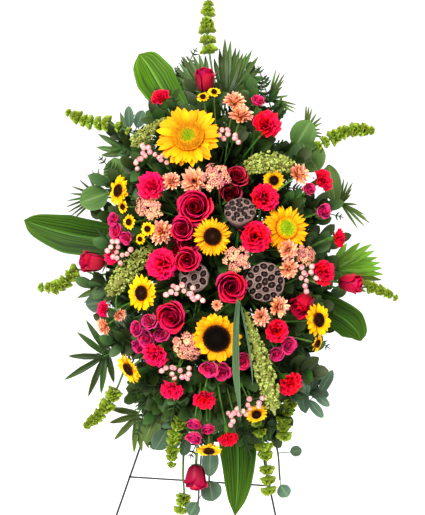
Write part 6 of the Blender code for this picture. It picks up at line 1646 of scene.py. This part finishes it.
def add_sprig(piece, start, end, look, leaf_length=0.040, leaf_width=0.023):
    """A leafy twig: oval leaves in loose pairs along its outer half."""
    rand = piece.random
    line = curve([start, (start * 0.4 + end * 0.6) + FRAME_OUT * 0.02, end], 20)
    add_tube(piece, line[::2], np.linspace(0.0016, 0.0007, 10), STEM, 5)
    ways = directions(line)
    for k in range(9):
        spot, way = line[min(7 + int(k * 1.5), 19)], ways[min(7 + int(k * 1.5), 19)]
        flat = basis(way, FRAME_UP)
        for side in (0, 1) if k < 8 else (0,):
            spin = k * 1.57 + side * math.pi + rand.uniform(-0.4, 0.4)
            out = unit(flat[:, 0] * math.cos(spin) + flat[:, 1] * math.sin(spin)
                       + way * (0.9 if k < 8 else 3.0))
            length = leaf_length * rand.uniform(0.8, 1.15)
            leaf = curve([spot, spot + out * length * 0.5 + FRAME_OUT * 0.003, spot + out * length], 7)
            face = unit(FRAME_OUT + way * 0.4 + rand.uniform(-0.4, 0.4, 3))
            grid = blade(leaf, leaf_width * rand.uniform(0.85, 1.15), face, ROUND_LEAF, 3, 0.22)
            piece.sheet(grid, rand.random(), look)


def foam_spot(end):
    """The place on the foam's front or side from which a filling stem leads to its end."""
    x, up = (end - FEET).dot(X_AXIS), (end - FEET).dot(FRAME_UP)
    reach_up = min(max(up, FOAM_BOTTOM + 0.02), FOAM_TOP - 0.02)
    if abs(x) > 0.12:
        return frame_point(math.copysign(FOAM_HALF_WIDTH, x), reach_up, 0.055)
    return frame_point(x * 0.4, reach_up, FOAM_FRONT)


def spray_place(far, angle):
    """The picture place that lies so far from the spray's middle, as a share of its size, at this angle."""
    return (SPRAY_CENTRE[0] + SPRAY_HALF_SIZE[0] * far * math.cos(angle),
            SPRAY_CENTRE[1] + SPRAY_HALF_SIZE[1] * far * math.sin(angle))


def fern_at(u):
    """The leatherleaf node on this side of the picture."""
    return "leatherleaf_left" if u < SPRAY_CENTRE[0] else "leatherleaf_right"


def behind_bloom(u, v):
    """Whether a bloom covers this place in the picture."""
    return any(math.hypot(u - bloom.u, v - bloom.v) * PIXEL < bloom.size / 2000 + 0.020
               for group in BLOOMS.values() for bloom in group.blooms)


def fill_plans():
    """For each filling frond the node it grows in, and the ways it may lie, the first to try first."""
    for count, inner, outer, back, half_width in FERN_FILL:
        for k in range(count):
            far, turn = math.sqrt(inner**2 + (outer**2 - inner**2) * (k + 0.5) / count), k * GOLDEN_TURN
            u, v = spray_place(far, turn)
            ways = []
            for size in (1.0, 0.78, 0.58):
                for sink, fan in ((0, 0), (0.014, 1), (0.028, -1), (0.006, -1), (0.020, 0), (0.034, 1)):
                    aim = turn + fan * FILL_FAN + 0.3 * math.sin(k * 1.7)
                    away = VIEW_RIGHT * math.cos(aim) - VIEW_TOP * math.sin(aim)
                    tip = seen(u, v, max(0.034, dome(u, v) - back / 1000 - sink)) + away * 0.012 * size
                    start = tip - (away + FRAME_OUT * 0.15) * FILL_LENGTH * size
                    ways.append((start, tip, half_width / 1000 * size))
            yield fern_at(u), ways


# More greenery deep between the blooms: its kind, how many, how far across the spray, how far behind the
# dome, and half width.
DEEP_GREEN = [("frond", 26, 0.86, 0.085, 0.036), ("frond", 24, 0.70, 0.060, 0.032),
              ("sprig", 52, 0.90, 0.055, 0.0), ("sprig", 30, 0.66, 0.036, 0.0)]
# The picture rows between which it grows.
DEEP_TOP, DEEP_BOTTOM = 88, 418
# Leafy twigs at the edges of the spray: picture place, with how far it stands out from the frame.
EDGE_TWIGS = [(322, 262, 0.07), (330, 294, 0.06), (314, 246, 0.09), (322, 330, 0.06), (304, 206, 0.08),
              (316, 222, 0.07), (108, 238, 0.07), (114, 262, 0.08), (110, 322, 0.06), (118, 138, 0.06),
              (124, 214, 0.09), (136, 396, 0.06), (152, 398, 0.07), (166, 420, 0.06), (180, 404, 0.10),
              (198, 426, 0.08), (222, 424, 0.10), (262, 428, 0.08), (280, 416, 0.07), (290, 392, 0.08),
              (246, 440, 0.08), (208, 438, 0.06), (160, 438, 0.05), (196, 84, 0.06), (172, 96, 0.06),
              (250, 78, 0.05), (290, 152, 0.08), (104, 216, 0.06), (332, 240, 0.06), (190, 412, 0.12),
              (240, 418, 0.10), (152, 418, 0.09), (174, 408, 0.11), (186, 424, 0.09), (212, 420, 0.11),
              (158, 404, 0.10), (176, 436, 0.06), (326, 246, 0.08), (333, 276, 0.06), (328, 312, 0.07),
              (254, 432, 0.09), (272, 436, 0.06), (308, 348, 0.07), (300, 340, 0.10)]
# The same for grey-green twigs with longer leaves.
LONG_TWIGS = [(309, 392, 0.07), (306, 374, 0.10)]


def dress_ferns():
    """Leatherleaf behind the blooms, with filling fronds and leafy twigs between and round them."""
    pieces = {}
    for name, fronds in FERNS.items():
        solid = Solid(name)
        looks = [LEAF["fern"], DARK_STEM, LEAF["salal"], LEAF["eucalyptus"]]
        piece = Piece(name + "_dressed", [name], "fern_green", looks)
        pieces[name] = piece
        ends = []
        for start, end, out, half_width in fronds:
            first, last = seen(*start, out), seen(*end, out)
            way = unit(last - first)
            ends.append((first - way * 0.003, way))
            add_frond(piece, first, last, half_width / 1000, 0.024)
        lines = grow_stems(piece, solid, ends, 0.0020)
        for owner, ways in fill_plans():
            found = [plan for plan in ways if owner == name and solid.gap(plan[1]) < 0.0005]
            if not found:
                continue
            start, tip, half_width = found[0]
            way = unit(tip - start)
            add_frond(piece, start, tip, half_width, 0.024)
            places = np.concatenate(lines)
            fork = places[np.linalg.norm(places - (start - way * FILL_BEHIND), axis=1).argmin()]
            leave = unit(start - fork) * np.linalg.norm(start - fork) * 0.3
            line = curve([fork, fork + leave, start - way * np.linalg.norm(leave), start], 9)
            add_tube(piece, line, FILL_STALK, STEM, 6)
            lines.append(line)
    for kind, count, share, back, half_width in DEEP_GREEN:
        for k in range(count):
            u, v = spray_place(math.sqrt((k + 0.5) / count) * share, k * GOLDEN_TURN)
            if not DEEP_TOP < v < DEEP_BOTTOM:
                continue
            end = seen(u, v, max(0.02, dome(u, v) - back - (0.036 if behind_bloom(u, v) else 0.0)))
            piece, spot = pieces[fern_at(u)], foam_spot(end)
            foot = spot - unit(end - spot) * 0.01
            if kind == "sprig":
                add_sprig(piece, foot, end, 2)
                continue
            start = spot + (end - spot) * max(0.0, 1 - 0.16 / max(np.linalg.norm(end - spot), 0.01))
            add_tube(piece, np.array([foot, (foot + start) / 2, start]), 0.0014, STEM, 5)
            add_frond(piece, start, end, half_width, 0.02)
    for twigs, settings in ((EDGE_TWIGS, (2,)), (LONG_TWIGS, (3, 0.052, 0.026))):
        for u, v, out in twigs:
            end = seen(u, v, out)
            spot = foam_spot(end)
            add_sprig(pieces[fern_at(u)], spot - unit(end - spot) * 0.01, end, *settings)
    for piece in pieces.values():
        piece.finish()


def leg_half_width(up):
    """How far a front leg stands from the middle at this height along it."""
    return FOOT_HALF_SPREAD * (1 - up / LEGS_MEET)


def rounded(points, radius, steps=7):
    """A line whose corners are bent round."""
    line = [points[0]]
    for a, b, c in zip(points[:-2], points[1:-1], points[2:]):
        reach = min(radius, np.linalg.norm(b - a) * 0.45, np.linalg.norm(c - b) * 0.45)
        line.extend(curve([b + unit(a - b) * reach, b, b + unit(c - b) * reach], steps))
    return np.array([*line, points[-1]])


def add_wire(piece, line, radius):
    """A wire with its long runs cut into short ones."""
    fine = []
    for a, b in zip(line[:-1], line[1:]):
        count = max(1, int(np.linalg.norm(b - a) / 0.02))
        fine.extend(a + (b - a) * k / count for k in range(count))
    add_tube(piece, np.array([*fine, line[-1]]), radius, 0, 14)


def dress_easel():
    """The bent front wire, its crossbars and welds, the hook, and the rear leg with its eye."""
    piece = Piece("easel_front_wires", ["easel_front_frame"], "wire_black", [WIRE])
    kink = LEGS_MEET * (1 - NECK_HALF_WIDTH / FOOT_HALF_SPREAD)
    neck = EASEL_TOP - NECK_HALF_WIDTH
    side = [frame_point(FOOT_HALF_SPREAD, 0.0004, 0), frame_point(NECK_HALF_WIDTH, kink, 0),
            frame_point(NECK_HALF_WIDTH, neck, 0)]
    arc = [frame_point(NECK_HALF_WIDTH * math.cos(a), neck + NECK_HALF_WIDTH * math.sin(a), 0)
           for a in np.linspace(0.15, math.pi - 0.15, 13)]
    mirrored = [p - 2 * X_AXIS * (p - FEET).dot(X_AXIS) for p in reversed(side)]
    add_wire(piece, np.vstack([rounded(side, 0.03), arc, rounded(mirrored, 0.03)]), WIRE_RADIUS)
    for up, out in ((LOWER_BAR, 0), (PIVOT_BAR, PIVOT_BAR_OUT)):
        half = leg_half_width(up) + WIRE_RADIUS * 0.5
        add_wire(piece, np.array([frame_point(-half, up, out), frame_point(half, up, out)]), BAR_RADIUS)
        for sign in (-1, 1):
            weld = ellipsoid(0.0030, 0.0065, 8, 10)
            piece.grid(put(weld, frame_point(sign * leg_half_width(up), up, out * 0.5), basis(FRAME_UP)),
                       (0.5, 0.0, 0.4), 0, wrap=True)
    hook = [frame_point(0, EASEL_TOP + up, out)
            for up, out in ((0, -0.001), (0, 0.022), (0.007, 0.029), (0.022, 0.030))]
    add_wire(piece, rounded(hook, 0.006), WIRE_RADIUS * 0.95)
    piece.finish()

    leg = Piece("easel_rear_wire", ["easel_rear_leg"], "wire_black", [WIRE], "rear_leg")
    pivot = frame_point(0, PIVOT_BAR, PIVOT_BAR_OUT)
    foot = pivot + Y_AXIS * math.sqrt(REAR_LEG_LENGTH**2 - pivot[2]**2)
    foot[2] = 0
    down = unit(foot - pivot)
    back = np.array([0, -down[2], down[1]])
    eye = BAR_RADIUS + EYE_CLEARANCE + WIRE_RADIUS
    end = foot + back * eye
    end = end + down * (0.0004 - end[2]) / down[2]
    loop = [pivot + (back * math.cos(a) - down * math.sin(a)) * eye
            for a in np.linspace(0, math.radians(245), 22)]
    add_wire(leg, np.array([end, *loop]), WIRE_RADIUS)
    leg.finish()


def dress_holder():
    """The foam, tray and cage keep their solids' shape and take a look in each slot."""
    for name, look in (("foam_block", FOAM), ("holder_tray", HOLDER), ("holder_cage", HOLDER)):
        slots = frame["nodes"][name].data.materials
        for k in range(len(slots)):
            slots[k] = look


def stand(turn, place):
    """The matrix that turns and places an object."""
    return Matrix([[*turn[row], place[row]] for row in range(3)] + [[0, 0, 0, 1]])


# Lamps: name, place, size in metres and power in watts.
LAMPS = [("key", (-1.3, -3.0, 2.9), 1.5, 135), ("fill", (2.4, -2.6, 1.9), 2.4, 35),
         ("top", (0.2, 0.3, 4.2), 3.0, 45), ("rear", (0.0, 2.6, 3.4), 2.5, 35)]
LAMPS_AIM = np.array([0, -0.1, 1.3])
# The floor's profile as depth and height, and how many points it has across.
FLOOR_PROFILE = [(-7, 0), (3.2, 0), (4.8, 0.1), (5.9, 0.45), (6.7, 1.1), (7.2, 2.1), (7.4, 3.4), (7.4, 8.0)]
FLOOR_HALF_WIDTH, FLOOR_COLUMNS = 8, 15
SENSOR_SIZE = 36.0


def make_stage():
    """A pale floor that sweeps up behind, soft lights, and the camera at the photograph's angle."""
    floor = Look("stage_paint", Roughness=0.9, Emission_Color=(1, 1, 1, 1), Emission_Strength=0.42)
    cells = floor.noise(floor.place(), 3.0, 2.0)
    floor.colour(floor.ramp(cells, [(0.0, (0.90, 0.90, 0.90)), (1.0, (0.93, 0.93, 0.93))]))
    rows = smooth_line(np.column_stack([np.zeros(len(FLOOR_PROFILE)), FLOOR_PROFILE]), steps=6)
    cols = np.linspace(-FLOOR_HALF_WIDTH, FLOOR_HALF_WIDTH, FLOOR_COLUMNS)
    points = [(x, y, z) for _, y, z in rows for x in cols]
    corners = [r * FLOOR_COLUMNS + c for r in range(len(rows) - 1) for c in range(FLOOR_COLUMNS - 1)]
    faces = [(k, k + 1, k + FLOOR_COLUMNS + 1, k + FLOOR_COLUMNS) for k in corners]
    mesh = bpy.data.meshes.new("stage")
    mesh.from_pydata(points, [], faces)
    mesh.shade_smooth()
    mesh.materials.append(floor.material)
    stage = bpy.data.objects.new("stage", mesh)
    bpy.context.scene.collection.objects.link(stage)
    for name, place, size, power in LAMPS:
        light = bpy.data.lights.new(name, "AREA")
        light.size, light.energy = size, power
        lamp = bpy.data.objects.new(name, light)
        bpy.context.scene.collection.objects.link(lamp)
        lamp.matrix_world = stand(basis(np.array(place) - LAMPS_AIM), place)
        lamp.visible_camera = False
    world = bpy.data.worlds.new("studio")
    world.use_nodes = True
    world.node_tree.nodes["Background"].inputs["Color"].default_value = (1, 1, 1, 1)
    world.node_tree.nodes["Background"].inputs["Strength"].default_value = 0.24
    bpy.context.scene.world = world
    lens = bpy.data.cameras.new("camera")
    lens.sensor_width, lens.lens = SENSOR_SIZE, FOCAL * SENSOR_SIZE / PICTURE_HEIGHT
    camera = bpy.data.objects.new("camera", lens)
    bpy.context.scene.collection.objects.link(camera)
    camera.matrix_world = stand(np.stack([VIEW_RIGHT, VIEW_TOP, -LOOK], 1), EYE)
    bpy.context.scene.camera = camera
    bpy.context.scene.view_settings.view_transform = "Standard"
    bpy.context.scene.view_settings.look = "Medium High Contrast"


# The slot, looks, stem radius and drawing of each plant, by its node's name or by the first word of it.
PLANTS = {
    # The top aspidistra leaf takes the painted-lit copy of its look: painted light on the leaf at the top of
    # the spray.
    "aspidistra_leaf_top": ("leaf_green", [LEAF["aspidistra_bright"], GREEN_STEM], 0.0022, draw_aspidistra),
    "aspidistra": ("leaf_green", [LEAF["aspidistra"], GREEN_STEM], 0.0022, draw_aspidistra),
    "xanadu": ("lobed_green", [LEAF["xanadu"], GREEN_STEM, LEAF["xanadu_bright"]], 0.0020, draw_fans),
    "palm": ("palm_green", [LEAF["palm"], GREEN_STEM, LEAF["palm_bright"]], 0.0020, draw_fans),
    "eucalyptus": ("eucalyptus_green", [LEAF["eucalyptus"], DARK_STEM, LEAF["eucalyptus_olive"]], 0.0018,
                   draw_eucalyptus),
    "bells": ("bell_green", [BELL, GREEN_STEM, BELL_HEART], 0.0022, draw_bells),
    "amaranth": ("tassel_green", [TASSEL, GREEN_STEM], 0.0022, draw_amaranth),
    "lily": ("grass_green", [LEAF["grass"], GREEN_STEM], 0.0018, draw_grass),
    "hypericum": ("berry_pink", [BERRY, GREEN_STEM, SEPAL], 0.0016, draw_berries),
}

make_stage()
dress_easel()
dress_holder()
dress_ferns()
for node_plans in (ASPIDISTRAS, FANS, EUCALYPTUS, BELLS, AMARANTHS, GRASS, BERRIES):
    for node_name, node_plan in node_plans.items():
        dress(node_name, node_plan, *(PLANTS.get(node_name) or PLANTS[node_name.split("_")[0]]))
dress_blooms()
